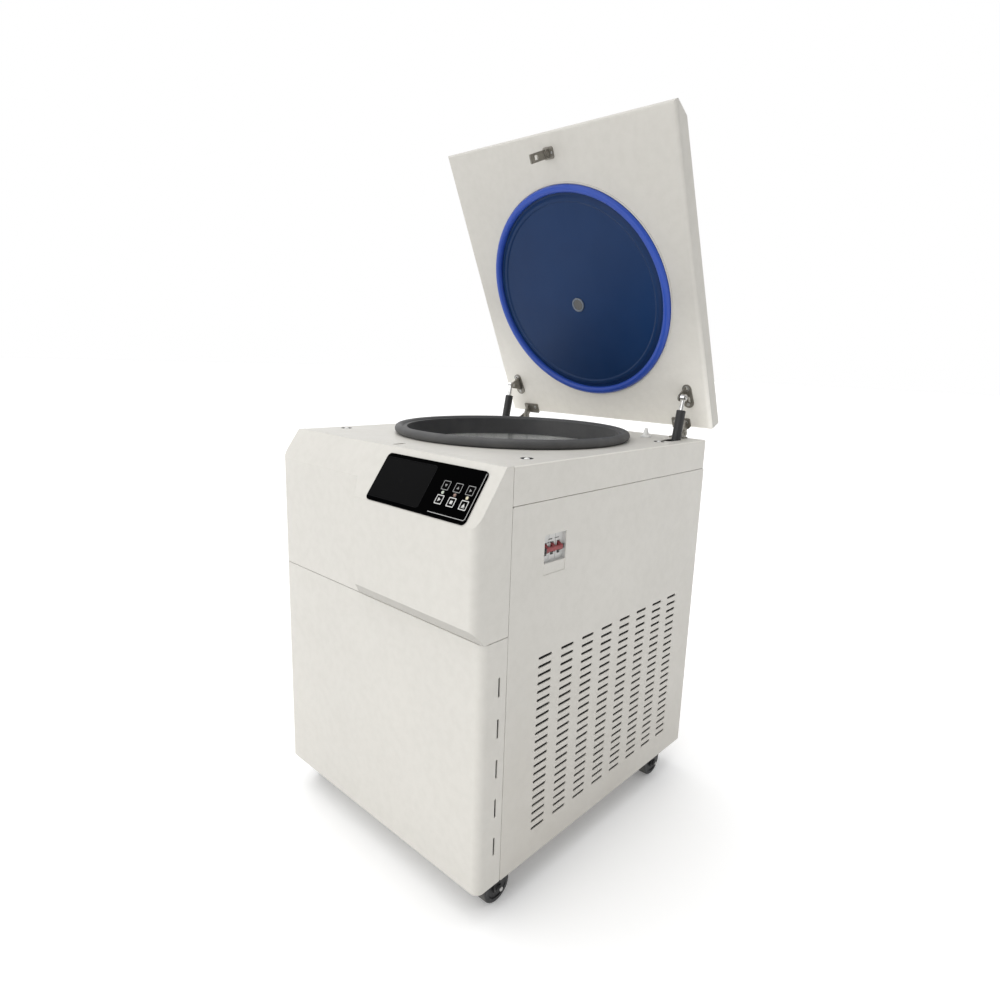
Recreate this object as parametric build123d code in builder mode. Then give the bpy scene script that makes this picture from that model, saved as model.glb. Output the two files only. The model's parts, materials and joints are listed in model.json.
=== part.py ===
"""Floor-standing refrigerated centrifuge with its lid open, as separate pieces.

Frame: +X to the right of someone facing the front, +Y to the back, +Z up, in millimetres.
The origin is on the floor, under the middle of the overall box with the lid open.
"""

from build123d import *
from math import atan2, cos, degrees, hypot, radians, sin, tan
import os

os.makedirs("parts", exist_ok=True)

# Cabinet envelope
half_width = 300  # outer faces of the side panels
rear_y = 329  # rear panel's outer face
seam_y = -306  # seam between the side panels and the front covers
front_y = -361  # lower front panel's face
console_y = -383  # face of the console's raised part
panel_bottom_z = 65  # lower edge of every outer panel
split_z = 524  # seam between the lower front panel and the console
skirt_z = 738.5  # lower edge of the top cover's skirt
top_z = 802  # deck around the chamber
sheet = 2  # sheet metal thickness
seam = 1  # open width of a seam

# Console: a sloped top and a raised part on the right
slope_top_y = -321
slope_angle = 55
bulge_left_x = -32  # foot of the raised part's left flank
bulge_flank = 20  # how far that flank leans in
bevel_top_z = 550  # top of the bevel under the raised part
corner_radius = 15  # upright front corners

# Chamber, on the rotor's axis
axis_y = 16
bowl_radius = 233.5
bowl_bottom_z = 520
deck_hole_radius = 237
seal_radius = 243  # centre line of the rim seal's bulb
seal_bulb = 9.3
seal_skirt_z = 778
insulation_inner = 246
insulation_outer = 268

# Lid, given as it lies when closed
lid_angle = 66  # how far it stands open
hinge_y = 330
hinge_z = 811
lid_rear_y = 326
lid_face_z = 831.5  # inner face above the floor
lid_length = 656
lid_thickness = 42
lid_wall = 2
liner_s = 313  # liner's centre, measured from the lid's rear edge
hinge_x = 228

# Lid struts
strut_x = 258
strut_pivot_s = 89  # top pivot, along the lid
strut_pivot_h = 27.5  # top pivot, off the lid's inner face
strut_anchor_y = 222
strut_anchor_z = 575
strut_tube_radius = 10
strut_tube_start = 28  # from the top pivot down to the tube
strut_tube_length = 160
strut_rod_radius = 4
strut_slot_length = 64
strut_slot_width = 27

# Rotor and its four swinging buckets
trunnion_radius = 115
trunnion_z = 640
bucket_count = 4
bucket_outer = 46
bucket_inner = 38
bucket_below = 98  # from the trunnion to the bottom
bucket_above = 20
pin_radius = 5

# Casters
wheel_radius = 32
wheel_width = 30
caster_x = 265
caster_trail = 24
front_caster_y = -265
rear_caster_y = 269
king_pin_radius = 6
axle_radius = 4
running_gap = 0.08  # radial gap of a shaft that turns in its bore

# Welded frame
floor_z = 84
floor_thickness = 4
post = 22
post_x = 285
front_post_y = -290
rear_post_y = 312
rail_z = 700
deck_z = 470  # plate that carries the motor
deck_thickness = 6

# Chassis: floor plate, posts, top rails, motor deck and strut ears, welded into one piece
caster_points = [
    (side * caster_x, y) for side in (-1, 1) for y in (front_caster_y, rear_caster_y)
]
post_points = [(side * post_x, y) for side in (-1, 1) for y in (front_post_y, rear_post_y)]
frame_mid_y = (front_post_y + rear_post_y) / 2
frame_depth = rear_post_y - front_post_y + post
ear_gap = 13  # between the two ears of one strut foot
ear_thickness = 3
ear_window = (23, 18)  # room for the strut's foot pin to wander in mid travel

with BuildPart() as base_frame:
    with BuildSketch(Plane.XY.offset(floor_z)):
        with Locations((0, frame_mid_y)):
            Rectangle(2 * post_x + post, frame_depth)
    extrude(amount=floor_thickness)
    with BuildSketch(Plane.XY.offset(floor_z + floor_thickness)):
        with Locations(*post_points):
            Rectangle(post, post)
    extrude(amount=rail_z + post - floor_z - floor_thickness)
    with BuildSketch(Plane.XY.offset(rail_z)):
        for side in (-1, 1):
            with Locations((side * post_x, frame_mid_y)):
                Rectangle(post, frame_depth)
        with Locations((0, rear_post_y)):
            Rectangle(2 * post_x, post)
    extrude(amount=post)
    with BuildSketch(Plane.XY.offset(deck_z)):
        with Locations((0, frame_mid_y)):
            Rectangle(2 * post_x, frame_depth - post)
        with Locations((0, axis_y)):
            Circle(80, mode=Mode.SUBTRACT)
    extrude(amount=deck_thickness)
    for side in (-1, 1):
        for ear in (-1, 1):
            ear_x = side * strut_x + ear * (ear_gap + ear_thickness) / 2 - ear_thickness / 2
            with BuildSketch(Plane.YZ.offset(ear_x)):
                with Locations((strut_anchor_y + 4, deck_z + deck_thickness + 62)):
                    Rectangle(52, 124)
                with Locations((strut_anchor_y - 5, strut_anchor_z + 3)):
                    RectangleRounded(*ear_window, 7, mode=Mode.SUBTRACT)
            extrude(amount=ear_thickness)
    with BuildSketch(Plane.XY.offset(floor_z - 10)):
        with Locations(*caster_points):
            Circle(24)
    extrude(amount=10)
    with BuildSketch(Plane.XY.offset(floor_z - 10)):
        with Locations(*caster_points):
            Circle(king_pin_radius + running_gap)
    extrude(amount=10 + floor_thickness, mode=Mode.SUBTRACT)
base_frame.part.label = "base_frame"
export_step(base_frame.part, "parts/base_frame.step")

# Casters: a swivelling fork with its axle, and a wheel
caster_names = ["front_left", "rear_left", "front_right", "rear_right"]
fork_top_z = floor_z - 10.6
fork_arm = 3
arm_x = wheel_width / 2 + 1

for corner, (pivot_x, pivot_y) in zip(caster_names, caster_points):
    wheel_y = pivot_y - caster_trail
    with BuildPart() as caster_fork:
        with BuildSketch(Plane.XY.offset(fork_top_z)):
            with Locations((pivot_x, pivot_y)):
                Circle(king_pin_radius)
        extrude(amount=floor_z + 2 - fork_top_z)
        with BuildSketch(Plane.XY.offset(fork_top_z - 7)):
            with Locations((pivot_x, pivot_y)):
                Circle(25)
        extrude(amount=7)
        for arm in (-1, 1):
            arm_start = pivot_x + arm * (arm_x + fork_arm / 2) - fork_arm / 2
            with BuildSketch(Plane.YZ.offset(arm_start)):
                with BuildLine():
                    Polyline(
                        (pivot_y - 22, fork_top_z - 5),
                        (pivot_y + 16, fork_top_z - 5),
                        (wheel_y + 11, wheel_radius - 6),
                        (wheel_y - 11, wheel_radius - 6),
                        (wheel_y - 12, wheel_radius + 12),
                        close=True,
                    )
                make_face()
                with Locations((wheel_y, wheel_radius)):
                    Circle(12)
            extrude(amount=fork_arm)
        with BuildSketch(Plane.YZ.offset(pivot_x - arm_x - fork_arm - 2)):
            with Locations((wheel_y, wheel_radius)):
                Circle(axle_radius)
        extrude(amount=2 * (arm_x + fork_arm + 2))
        for arm in (-1, 1):
            with BuildSketch(Plane.YZ.offset(pivot_x + arm * (arm_x + fork_arm + 1.5) - 1.5)):
                with Locations((wheel_y, wheel_radius)):
                    RegularPolygon(7, 6)
            extrude(amount=3)
    caster_fork.part.label = f"caster_fork_{corner}"
    export_step(caster_fork.part, f"parts/caster_fork_{corner}.step")

    with BuildPart() as caster_wheel:
        with BuildSketch(Plane.YZ.offset(pivot_x - wheel_width / 2)):
            with Locations((wheel_y, wheel_radius)):
                Circle(wheel_radius)
        extrude(amount=wheel_width)
        fillet(caster_wheel.edges().filter_by(GeomType.CIRCLE), 4)
        for face_side in (-1, 1):
            with BuildSketch(Plane.YZ.offset(pivot_x + face_side * (wheel_width / 2 - 1) - 1)):
                with Locations((wheel_y, wheel_radius)):
                    Circle(23)
                    Circle(11, mode=Mode.SUBTRACT)
            extrude(amount=2, mode=Mode.SUBTRACT)
        with BuildSketch(Plane.YZ.offset(pivot_x - wheel_width)):
            with Locations((wheel_y, wheel_radius)):
                Circle(axle_radius + running_gap)
        extrude(amount=2 * wheel_width, mode=Mode.SUBTRACT)
    caster_wheel.part.label = f"caster_wheel_{corner}"
    export_step(caster_wheel.part, f"parts/caster_wheel_{corner}.step")

# Side panels with their air slots; the right one has the breaker's window
vent_columns = 8
vent_rows = 22
vent_mid = (12, 291)  # y and z of the slot field's centre
vent_pitch_y = 62.6
vent_pitch_z = 15.95
vent_slot = (37, 5.5)
breaker_y = -194.5
breaker_z = 653
breaker_window = (58, 50)
breaker_tab = (58, 20)  # shallow blank recess under the breaker's window
tab_depth = 0.8
foot_flange_length = 360  # stays clear of the swivelling casters
side_mid_y = (seam_y + seam + rear_y) / 2
side_depth = rear_y - seam_y - seam
side_height = skirt_z - seam - panel_bottom_z

for side, name in ((-1, "left_panel"), (1, "right_panel")):
    with BuildPart() as side_panel:
        with BuildSketch(Plane.YZ.offset(side * (half_width - sheet / 2) - sheet / 2)):
            with Locations((side_mid_y, panel_bottom_z + side_height / 2)):
                RectangleRounded(side_depth, side_height, 4)
            with Locations(vent_mid):
                with GridLocations(vent_pitch_y, vent_pitch_z, vent_columns, vent_rows):
                    SlotOverall(*vent_slot, mode=Mode.SUBTRACT)
            if side > 0:
                with Locations((breaker_y, breaker_z)):
                    Rectangle(*breaker_window, mode=Mode.SUBTRACT)
        extrude(amount=sheet)
        if side > 0:
            with BuildSketch(Plane.YZ.offset(half_width)):
                with Locations((breaker_y, breaker_z - (breaker_window[1] + breaker_tab[1]) / 2)):
                    Rectangle(*breaker_tab)
            extrude(amount=-tab_depth, mode=Mode.SUBTRACT)
        flange_x = side * (half_width - sheet - 9)
        with BuildSketch(Plane.XY.offset(panel_bottom_z + 4)):
            with Locations((flange_x, 0)):
                Rectangle(18, foot_flange_length)
        extrude(amount=sheet)
    side_panel.part.label = name
    export_step(side_panel.part, f"parts/{name}.step")

# Rear panel between the side panels, with its own slots and the inlet's cut-out
inlet_x = -190
inlet_z = 165
inlet_size = (48, 60)

with BuildPart() as rear_panel:
    with BuildSketch(Plane.XZ.offset(-rear_y)):
        with Locations((0, panel_bottom_z + side_height / 2)):
            Rectangle(2 * (half_width - sheet - 0.3), side_height)
        with Locations((60, 260)):
            with GridLocations(62, 16, 5, 14):
                SlotOverall(44, 5.5, mode=Mode.SUBTRACT)
        with Locations((inlet_x, inlet_z)):
            Rectangle(*inlet_size, mode=Mode.SUBTRACT)
    extrude(amount=sheet)
rear_panel.part.label = "rear_panel"
export_step(rear_panel.part, "parts/rear_panel.step")

with BuildPart() as power_inlet:
    with BuildSketch(Plane.XZ.offset(-rear_y - 3)):
        with Locations((inlet_x, inlet_z)):
            RectangleRounded(inlet_size[0] + 14, inlet_size[1] + 14, 4)
    extrude(amount=2.7)
    with BuildSketch(Plane.XZ.offset(-rear_y - 1)):
        with Locations((inlet_x, inlet_z)):
            Rectangle(inlet_size[0] - 1, inlet_size[1] - 1)
    extrude(amount=40)
    with BuildSketch(Plane.XZ.offset(-rear_y - 3)):
        with Locations((inlet_x, inlet_z - 12)):
            RectangleRounded(34, 26, 3)
    extrude(amount=24, mode=Mode.SUBTRACT)
    with BuildSketch(Plane.XZ.offset(-rear_y + 21)):
        with Locations((inlet_x - 9, inlet_z - 12), (inlet_x, inlet_z - 15), (inlet_x + 9, inlet_z - 12)):
            Rectangle(2.5, 7)
    extrude(amount=-17)
    with BuildSketch(Plane.XZ.offset(-rear_y - 4)):
        with Locations((inlet_x, inlet_z + 20)):
            RectangleRounded(30, 12, 2)
    extrude(amount=2)
power_inlet.part.label = "power_inlet"
export_step(power_inlet.part, "parts/power_inlet.step")

# Top cover: deck and skirt, with the chamber's hole, strut slots, latch slot and screw dimples
latch_y = -290
latch_slot = (26, 9)
stop_x = 190
stop_y = 253
strut_slot_y = 251
dimple_points = [(x, y) for x in (-268, 255) for y in (-226, 200)]
dimple_radius = 13
deck_depth = rear_y - seam_y - seam
deck_mid_y = rear_y - deck_depth / 2

with BuildPart() as top_cover:
    with BuildSketch(Plane.XY.offset(skirt_z)):
        with Locations((0, deck_mid_y)):
            Rectangle(2 * half_width, deck_depth)
    extrude(amount=top_z - skirt_z)
    rear_corners = top_cover.edges().filter_by(Axis.Z).group_by(Axis.Y)[-1]
    fillet(rear_corners, 5)
    upper_edges = top_cover.edges().group_by(Axis.Z)[-1].sort_by(Axis.Y)[1:]
    fillet(upper_edges, 3)
    with BuildSketch(Plane.XY.offset(skirt_z)):
        with Locations((0, deck_mid_y - sheet)):
            Rectangle(2 * (half_width - sheet), deck_depth)
    extrude(amount=top_z - sheet - skirt_z, mode=Mode.SUBTRACT)
    with BuildSketch(Plane.XY.offset(top_z - sheet - 4)):
        with Locations(*dimple_points):
            Circle(dimple_radius)
    extrude(amount=4)
    with BuildSketch(Plane.XY.offset(top_z)):
        with Locations(*dimple_points):
            Circle(dimple_radius - 2)
    extrude(amount=-4, taper=20, mode=Mode.SUBTRACT)
    with BuildSketch(Plane.XY.offset(top_z)):
        with Locations((0, axis_y)):
            Circle(deck_hole_radius)
        for side in (-1, 1):
            with Locations((side * (strut_x - 1.5), strut_slot_y)):
                SlotOverall(strut_slot_length, strut_slot_width, rotation=90)
        with Locations((0, latch_y)):
            SlotOverall(*latch_slot, rotation=90)
    extrude(amount=-20, mode=Mode.SUBTRACT)
top_cover.part.label = "top_cover"
export_step(top_cover.part, "parts/top_cover.step")

with BuildPart() as deck_screws:
    with BuildSketch(Plane.XY.offset(top_z - 4)):
        with Locations(*dimple_points):
            Circle(6)
    extrude(amount=3)
    fillet(deck_screws.edges().group_by(Axis.Z)[-1], 2)
    with BuildSketch(Plane.XY.offset(top_z - 1)):
        with Locations(*dimple_points):
            RegularPolygon(2.8, 6)
    extrude(amount=-2, mode=Mode.SUBTRACT)
deck_screws.part.label = "deck_screws"
export_step(deck_screws.part, "parts/deck_screws.step")

with BuildPart() as lid_stop:
    with BuildSketch(Plane.XZ.offset(-stop_y)):
        with BuildLine():
            Polyline(
                (stop_x, top_z),
                (stop_x + 11, top_z),
                (stop_x + 11, top_z + 2),
                (stop_x + 7, top_z + 4),
                (stop_x + 3, top_z + 20),
                (stop_x, top_z + 21),
                close=True,
            )
        make_face()
    revolve(axis=Axis((stop_x, stop_y, 0), (0, 0, 1)))
lid_stop.part.label = "lid_stop"
export_step(lid_stop.part, "parts/lid_stop.step")

# Console cover: sloped, with the raised part, hollow behind
console_wall = 2.5
slope_run = tan(radians(slope_angle))


def slope_z(y, inset):
    """Height of the slope at y, for a skin that lies inset behind the outer one."""
    return top_z - inset / cos(radians(slope_angle)) + (y - slope_top_y) * slope_run


def console_block(inset):
    """The console's outer shape, drawn smaller by inset on its front, top and sides."""
    flat_y = front_y + inset
    raised_y = console_y + inset
    top_y = slope_top_y + (top_z - inset - slope_z(slope_top_y, inset)) / slope_run
    back_y = seam_y + inset
    bottom_z = split_z + inset
    side_x = half_width - inset
    left_x = bulge_left_x + inset
    with BuildPart() as block:
        with BuildSketch(Plane.YZ.offset(-side_x)):
            with BuildLine():
                Polyline(
                    (back_y, top_z - inset),
                    (top_y, top_z - inset),
                    (flat_y, slope_z(flat_y, inset)),
                    (flat_y, bottom_z),
                    (back_y, bottom_z),
                    close=True,
                )
            make_face()
        extrude(amount=2 * side_x)
        with BuildSketch(Plane.YZ.offset(left_x)):
            with BuildLine():
                Polyline(
                    (flat_y + 20, slope_z(flat_y + 20, inset)),
                    (raised_y, slope_z(raised_y, inset)),
                    (raised_y, bevel_top_z),
                    (flat_y, bottom_z),
                    (flat_y + 20, bottom_z),
                    close=True,
                )
            make_face()
        extrude(amount=side_x - left_x)
        with BuildSketch(Plane.XY.offset(bottom_z)):
            with BuildLine():
                Polyline(
                    (left_x - 5, raised_y - 5),
                    (left_x - 5, flat_y),
                    (left_x, flat_y),
                    (left_x + bulge_flank, raised_y),
                    (left_x + bulge_flank, raised_y - 5),
                    close=True,
                )
            make_face()
        extrude(amount=300, mode=Mode.SUBTRACT)
        uprights = block.edges().filter_by(Axis.Z)
        corners = uprights.filter_by(lambda e: abs(abs(e.center().X) - side_x) < 0.1)
        fillet(corners.filter_by(lambda e: e.center().Y < front_y + 5), corner_radius - inset)
    return block.part


fascia_x = 147.5
fascia_s = 60  # down the slope to the fascia's centre
fascia_size = (250, 93)
fascia_radius = 9
slope_plane = Plane(
    origin=(0, slope_top_y, top_z),
    x_dir=(1, 0, 0),
    z_dir=(0, -sin(radians(slope_angle)), cos(radians(slope_angle))),
)

with BuildPart() as console_cover:
    add(console_block(0))
    add(console_block(console_wall), mode=Mode.SUBTRACT)
    with BuildSketch(Plane.XZ.offset(-seam_y - console_wall)):
        with Locations((0, (top_z + split_z) / 2)):
            Rectangle(2 * half_width - 40, top_z - split_z - 40)
    extrude(amount=-10, both=True, mode=Mode.SUBTRACT)
    with BuildSketch(slope_plane):
        with Locations((fascia_x, -fascia_s)):
            Rectangle(fascia_size[0] - 16, fascia_size[1] - 16)
    extrude(amount=-10, mode=Mode.SUBTRACT)
console_cover.part.label = "console_cover"
export_step(console_cover.part, "parts/console_cover.step")

# Control fascia, display and six keys, on the slope
fascia_thickness = 2
key_size = 18.5
key_gap = 0.5
key_x = [197.5, 225.5, 253.5]
key_s = [50.5, 76]
key_names = [["up", "down", "next"], ["start", "stop", "lid"]]
key_rise = 0.6
key_depth = 4
display_x = 91
display_size = (134, 76)
key_points = [(x, -s) for s in key_s for x in key_x]

with BuildPart() as control_fascia:
    with BuildSketch(slope_plane.offset(0.1)):
        with Locations((fascia_x, -fascia_s)):
            RectangleRounded(*fascia_size, fascia_radius)
        with Locations(*key_points):
            Rectangle(key_size + 2 * key_gap, key_size + 2 * key_gap, mode=Mode.SUBTRACT)
    extrude(amount=fascia_thickness)
    with BuildSketch(slope_plane.offset(0.1 + fascia_thickness)):
        with Locations((display_x, -fascia_s)):
            RectangleRounded(display_size[0] + 0.6, display_size[1] + 0.6, 4)
    extrude(amount=-1.2, mode=Mode.SUBTRACT)
control_fascia.part.label = "control_fascia"
export_step(control_fascia.part, "parts/control_fascia.step")

with BuildPart() as display_window:
    with BuildSketch(slope_plane.offset(0.1 + fascia_thickness - 1.1)):
        with Locations((display_x, -fascia_s)):
            RectangleRounded(*display_size, 4)
    extrude(amount=1.1)
display_window.part.label = "display_window"
export_step(display_window.part, "parts/display_window.step")

for row, s in enumerate(key_s):
    for column, x in enumerate(key_x):
        key_name = f"key_{key_names[row][column]}"
        with BuildPart() as key:
            with BuildSketch(slope_plane.offset(0.1 + fascia_thickness + key_rise)):
                with Locations((x, -s)):
                    RectangleRounded(key_size, key_size, 2)
            extrude(amount=-key_depth)
            key_front = key.faces().sort_by(Axis((0, 0, 0), slope_plane.z_dir))[-1]
            fillet(key_front.edges(), 0.5)
            with BuildSketch(slope_plane.offset(0.1 + fascia_thickness + key_rise - key_depth)):
                with Locations((x, -s)):
                    Circle(5)
            extrude(amount=-3)
        key.part.label = key_name
        export_step(key.part, f"parts/{key_name}.step")

# Lower front panel, with upright slots in its right and left flanks
flank_slot_y = -323
flank_slot_z = [145, 219, 293, 367, 441]
flank_slot = (35, 4)

with BuildPart() as front_panel:
    with BuildSketch(Plane.XY.offset(panel_bottom_z)):
        with Locations((0, (front_y + seam_y) / 2)):
            Rectangle(2 * half_width, seam_y - front_y)
    extrude(amount=split_z - seam - panel_bottom_z)
    front_uprights = front_panel.edges().filter_by(Axis.Z).group_by(Axis.Y)[0]
    fillet(front_uprights, corner_radius)
    front_rims = front_panel.edges().filter_by(Axis.X).group_by(Axis.Y)[0]
    fillet(front_rims, 1.5)
    with BuildSketch(Plane.XY.offset(panel_bottom_z + sheet)) as panel_inside:
        with Locations((0, (front_y + seam_y) / 2 + sheet)):
            Rectangle(2 * (half_width - sheet), seam_y - front_y)
        fillet(panel_inside.vertices().group_by(Axis.Y)[0], corner_radius - sheet)
    extrude(amount=split_z - seam - panel_bottom_z - 2 * sheet, mode=Mode.SUBTRACT)
    with BuildSketch(Plane.YZ.offset(-half_width - 5)):
        with Locations(*[(flank_slot_y, z) for z in flank_slot_z]):
            SlotOverall(*flank_slot, rotation=90)
    extrude(amount=2 * half_width + 10, mode=Mode.SUBTRACT)
front_panel.part.label = "front_panel"
export_step(front_panel.part, "parts/front_panel.step")

# Chamber: rim seal, steel bowl, cooling coil and foam
chamber_axis = Axis((0, axis_y, 0), (0, 0, 1))
chamber_plane = Plane.XZ.offset(-axis_y)
seal_z = top_z + seal_bulb + 0.1
seal_skirt = (227, 233)

with BuildPart() as rim_seal:
    with BuildSketch(chamber_plane):
        with Locations((seal_radius, seal_z)):
            Circle(seal_bulb)
        with Locations((seal_radius - 6, seal_z - 1)):
            Rectangle(12, 11)
        with Locations(((seal_skirt[0] + seal_skirt[1]) / 2, (seal_z + 4.5 + seal_skirt_z) / 2)):
            Rectangle(seal_skirt[1] - seal_skirt[0], seal_z + 4.5 - seal_skirt_z)
    revolve(axis=chamber_axis)
rim_seal.part.label = "rim_seal"
export_step(rim_seal.part, "parts/rim_seal.step")

bowl_wall = 1.5
bowl_top_z = top_z - sheet - 0.2
bowl_hub_radius = 30

with BuildPart() as chamber_bowl:
    with BuildSketch(chamber_plane):
        with BuildLine():
            FilletPolyline(
                (bowl_radius + 10, bowl_top_z),
                (bowl_radius, bowl_top_z),
                (bowl_radius, bowl_bottom_z),
                (bowl_hub_radius, bowl_bottom_z),
                (bowl_hub_radius, bowl_bottom_z + 22),
                radius=[2, 28, 6],
            )
            offset(amount=bowl_wall, side=Side.LEFT)
        make_face()
    revolve(axis=chamber_axis)
chamber_bowl.part.label = "chamber_bowl"
export_step(chamber_bowl.part, "parts/chamber_bowl.step")

coil_radius = 240.2
coil_tube = 4.2
coil_rings = 11
coil_pitch = 20
coil_start_z = 555

with BuildPart() as evaporator_coil:
    for ring in range(coil_rings):
        with Locations((0, axis_y, coil_start_z + ring * coil_pitch)):
            Torus(coil_radius, coil_tube)
    for angle in (100, 80):
        header_x = coil_radius * cos(radians(angle))
        header_y = axis_y + coil_radius * sin(radians(angle))
        with BuildSketch(Plane.XY.offset(coil_start_z)):
            with Locations((header_x, header_y)):
                Circle(coil_tube - 0.4)
        extrude(amount=(coil_rings - 1) * coil_pitch)
evaporator_coil.part.label = "evaporator_coil"
export_step(evaporator_coil.part, "parts/evaporator_coil.step")

with BuildPart() as chamber_insulation:
    with BuildSketch(Plane.XY.offset(500)):
        with Locations((0, axis_y)):
            Circle(insulation_outer)
            Circle(bowl_hub_radius + 4, mode=Mode.SUBTRACT)
    extrude(amount=bowl_bottom_z - bowl_wall - 0.5 - 500)
    with BuildSketch(Plane.XY.offset(500)):
        with Locations((0, axis_y)):
            Circle(insulation_outer)
            Circle(insulation_inner, mode=Mode.SUBTRACT)
    extrude(amount=bowl_top_z - bowl_wall - 1 - 500)
chamber_insulation.part.label = "chamber_insulation"
export_step(chamber_insulation.part, "parts/chamber_insulation.step")

# Drive: motor on three rubber mounts, spindle, rotor head and its nut
mount_circle = 95
mount_z = deck_z + deck_thickness
motor_flange_z = mount_z + 10
motor_flange = 8
spindle_radius = 12.5
spindle_top_z = 668

with BuildPart() as motor_mounts:
    with BuildSketch(Plane.XY.offset(mount_z)):
        with Locations((0, axis_y)):
            with PolarLocations(mount_circle, 3):
                Circle(11)
    extrude(amount=motor_flange_z - mount_z)
motor_mounts.part.label = "motor_mounts"
export_step(motor_mounts.part, "parts/motor_mounts.step")

with BuildPart() as drive_motor:
    with BuildSketch(Plane.XY.offset(motor_flange_z)):
        with Locations((0, axis_y)):
            Circle(112)
    extrude(amount=motor_flange)
    with BuildSketch(Plane.XY.offset(320)):
        with Locations((0, axis_y)):
            Circle(70)
            with PolarLocations(70, 24):
                Rectangle(8, 3)
    extrude(amount=motor_flange_z - 320)
    with BuildSketch(Plane.XY.offset(302)):
        with Locations((0, axis_y)):
            Circle(60)
    extrude(amount=18)
    with BuildSketch(Plane.XY.offset(430)):
        with Locations((0, axis_y)):
            Circle(spindle_radius + running_gap)
    extrude(amount=80, mode=Mode.SUBTRACT)
drive_motor.part.label = "drive_motor"
export_step(drive_motor.part, "parts/drive_motor.step")

with BuildPart() as drive_spindle:
    with BuildSketch(Plane.XY.offset(432)):
        with Locations((0, axis_y)):
            Circle(spindle_radius)
    extrude(amount=trunnion_z - 30 - 432)
    with BuildSketch(Plane.XY.offset(trunnion_z - 30)):
        with Locations((0, axis_y)):
            Circle(9)
    extrude(amount=spindle_top_z - trunnion_z + 30)
drive_spindle.part.label = "drive_spindle"
export_step(drive_spindle.part, "parts/drive_spindle.step")

block_in = 57
block_out = 132
head_half_height = 24
pin_mid = 52  # middle of a trunnion pin, to the side of its bucket's centre

with BuildPart() as rotor_head:
    with BuildSketch(Plane.XY.offset(trunnion_z - head_half_height)):
        with Locations((0, axis_y)):
            Circle(44)
            with PolarLocations(62, bucket_count, start_angle=45):
                Rectangle(60, 26)
            with PolarLocations(0, bucket_count):
                Polygon(
                    (block_in, block_in),
                    (block_out, block_in),
                    (block_out, block_in + 12),
                    (block_in + 12, block_out),
                    (block_in, block_out),
                    align=None,
                )
    extrude(amount=2 * head_half_height)
    block_tips = rotor_head.edges().filter_by(Axis.Z).filter_by(
        lambda e: hypot(e.center().X, e.center().Y - axis_y) > block_out
    )
    fillet(block_tips, 4)
    with Locations((0, axis_y, trunnion_z)):
        with PolarLocations(trunnion_radius, bucket_count):
            with Locations((0, -pin_mid, 0), (0, pin_mid, 0)):
                Cylinder(pin_radius, 14, rotation=(90, 0, 0))
    with BuildSketch(Plane.XY.offset(trunnion_z - head_half_height - 6)):
        with Locations((0, axis_y)):
            Circle(22)
    extrude(amount=6)
    with BuildSketch(Plane.XY.offset(trunnion_z - 40)):
        with Locations((0, axis_y)):
            Circle(9.02)
    extrude(amount=90, mode=Mode.SUBTRACT)
rotor_head.part.label = "rotor_head"
export_step(rotor_head.part, "parts/rotor_head.step")

with BuildPart() as rotor_nut:
    with BuildSketch(Plane.XY.offset(trunnion_z + head_half_height)):
        with Locations((0, axis_y)):
            Circle(18)
    extrude(amount=26)
    fillet(rotor_nut.edges().group_by(Axis.Z)[-1], 3)
    with BuildSketch(Plane.XY.offset(trunnion_z + head_half_height + 8)):
        with Locations((0, axis_y)):
            with PolarLocations(20, 8):
                Circle(4.5)
    extrude(amount=20, mode=Mode.SUBTRACT)
    with BuildSketch(Plane.XY.offset(trunnion_z + head_half_height)):
        with Locations((0, axis_y)):
            Circle(9.02)
    extrude(amount=spindle_top_z + 1 - trunnion_z - head_half_height, mode=Mode.SUBTRACT)
rotor_nut.part.label = "rotor_nut"
export_step(rotor_nut.part, "parts/rotor_nut.step")

for turn in range(bucket_count):
    spin_angle = 90 * turn
    centre = Location((0, axis_y, 0), (0, 0, spin_angle)) * Location((trunnion_radius, 0, 0))
    with BuildPart() as bucket:
        with Locations(centre * Location((0, 0, trunnion_z - bucket_below))):
            Cylinder(
                bucket_outer - 1,
                bucket_below + bucket_above,
                align=(Align.CENTER, Align.CENTER, Align.MIN),
            )
        fillet(bucket.edges().group_by(Axis.Z)[0], 8)
        with Locations(centre * Location((0, 0, trunnion_z))):
            for boss in (-1, 1):
                with Locations((0, boss * 45, 0)):
                    Cylinder(10, 9, rotation=(90, 0, 0))
        with Locations(centre * Location((0, 0, trunnion_z + bucket_above - 4))):
            Cylinder(bucket_outer, 4, align=(Align.CENTER, Align.CENTER, Align.MIN))
        with Locations(centre * Location((0, 0, trunnion_z - bucket_below + 5))):
            Cylinder(
                bucket_inner,
                bucket_below + bucket_above,
                align=(Align.CENTER, Align.CENTER, Align.MIN),
                mode=Mode.SUBTRACT,
            )
        with Locations(centre * Location((0, 0, trunnion_z))):
            for boss in (-1, 1):
                with Locations((0, boss * 47, 0)):
                    Cylinder(pin_radius + running_gap, 7, rotation=(90, 0, 0), mode=Mode.SUBTRACT)
    bucket.part.label = f"bucket_{turn + 1}"
    export_step(bucket.part, f"parts/bucket_{turn + 1}.step")

# Cooling: compressor, condenser with its shroud, and the fan that turns in it
compressor_at = (-110, 150)

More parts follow.
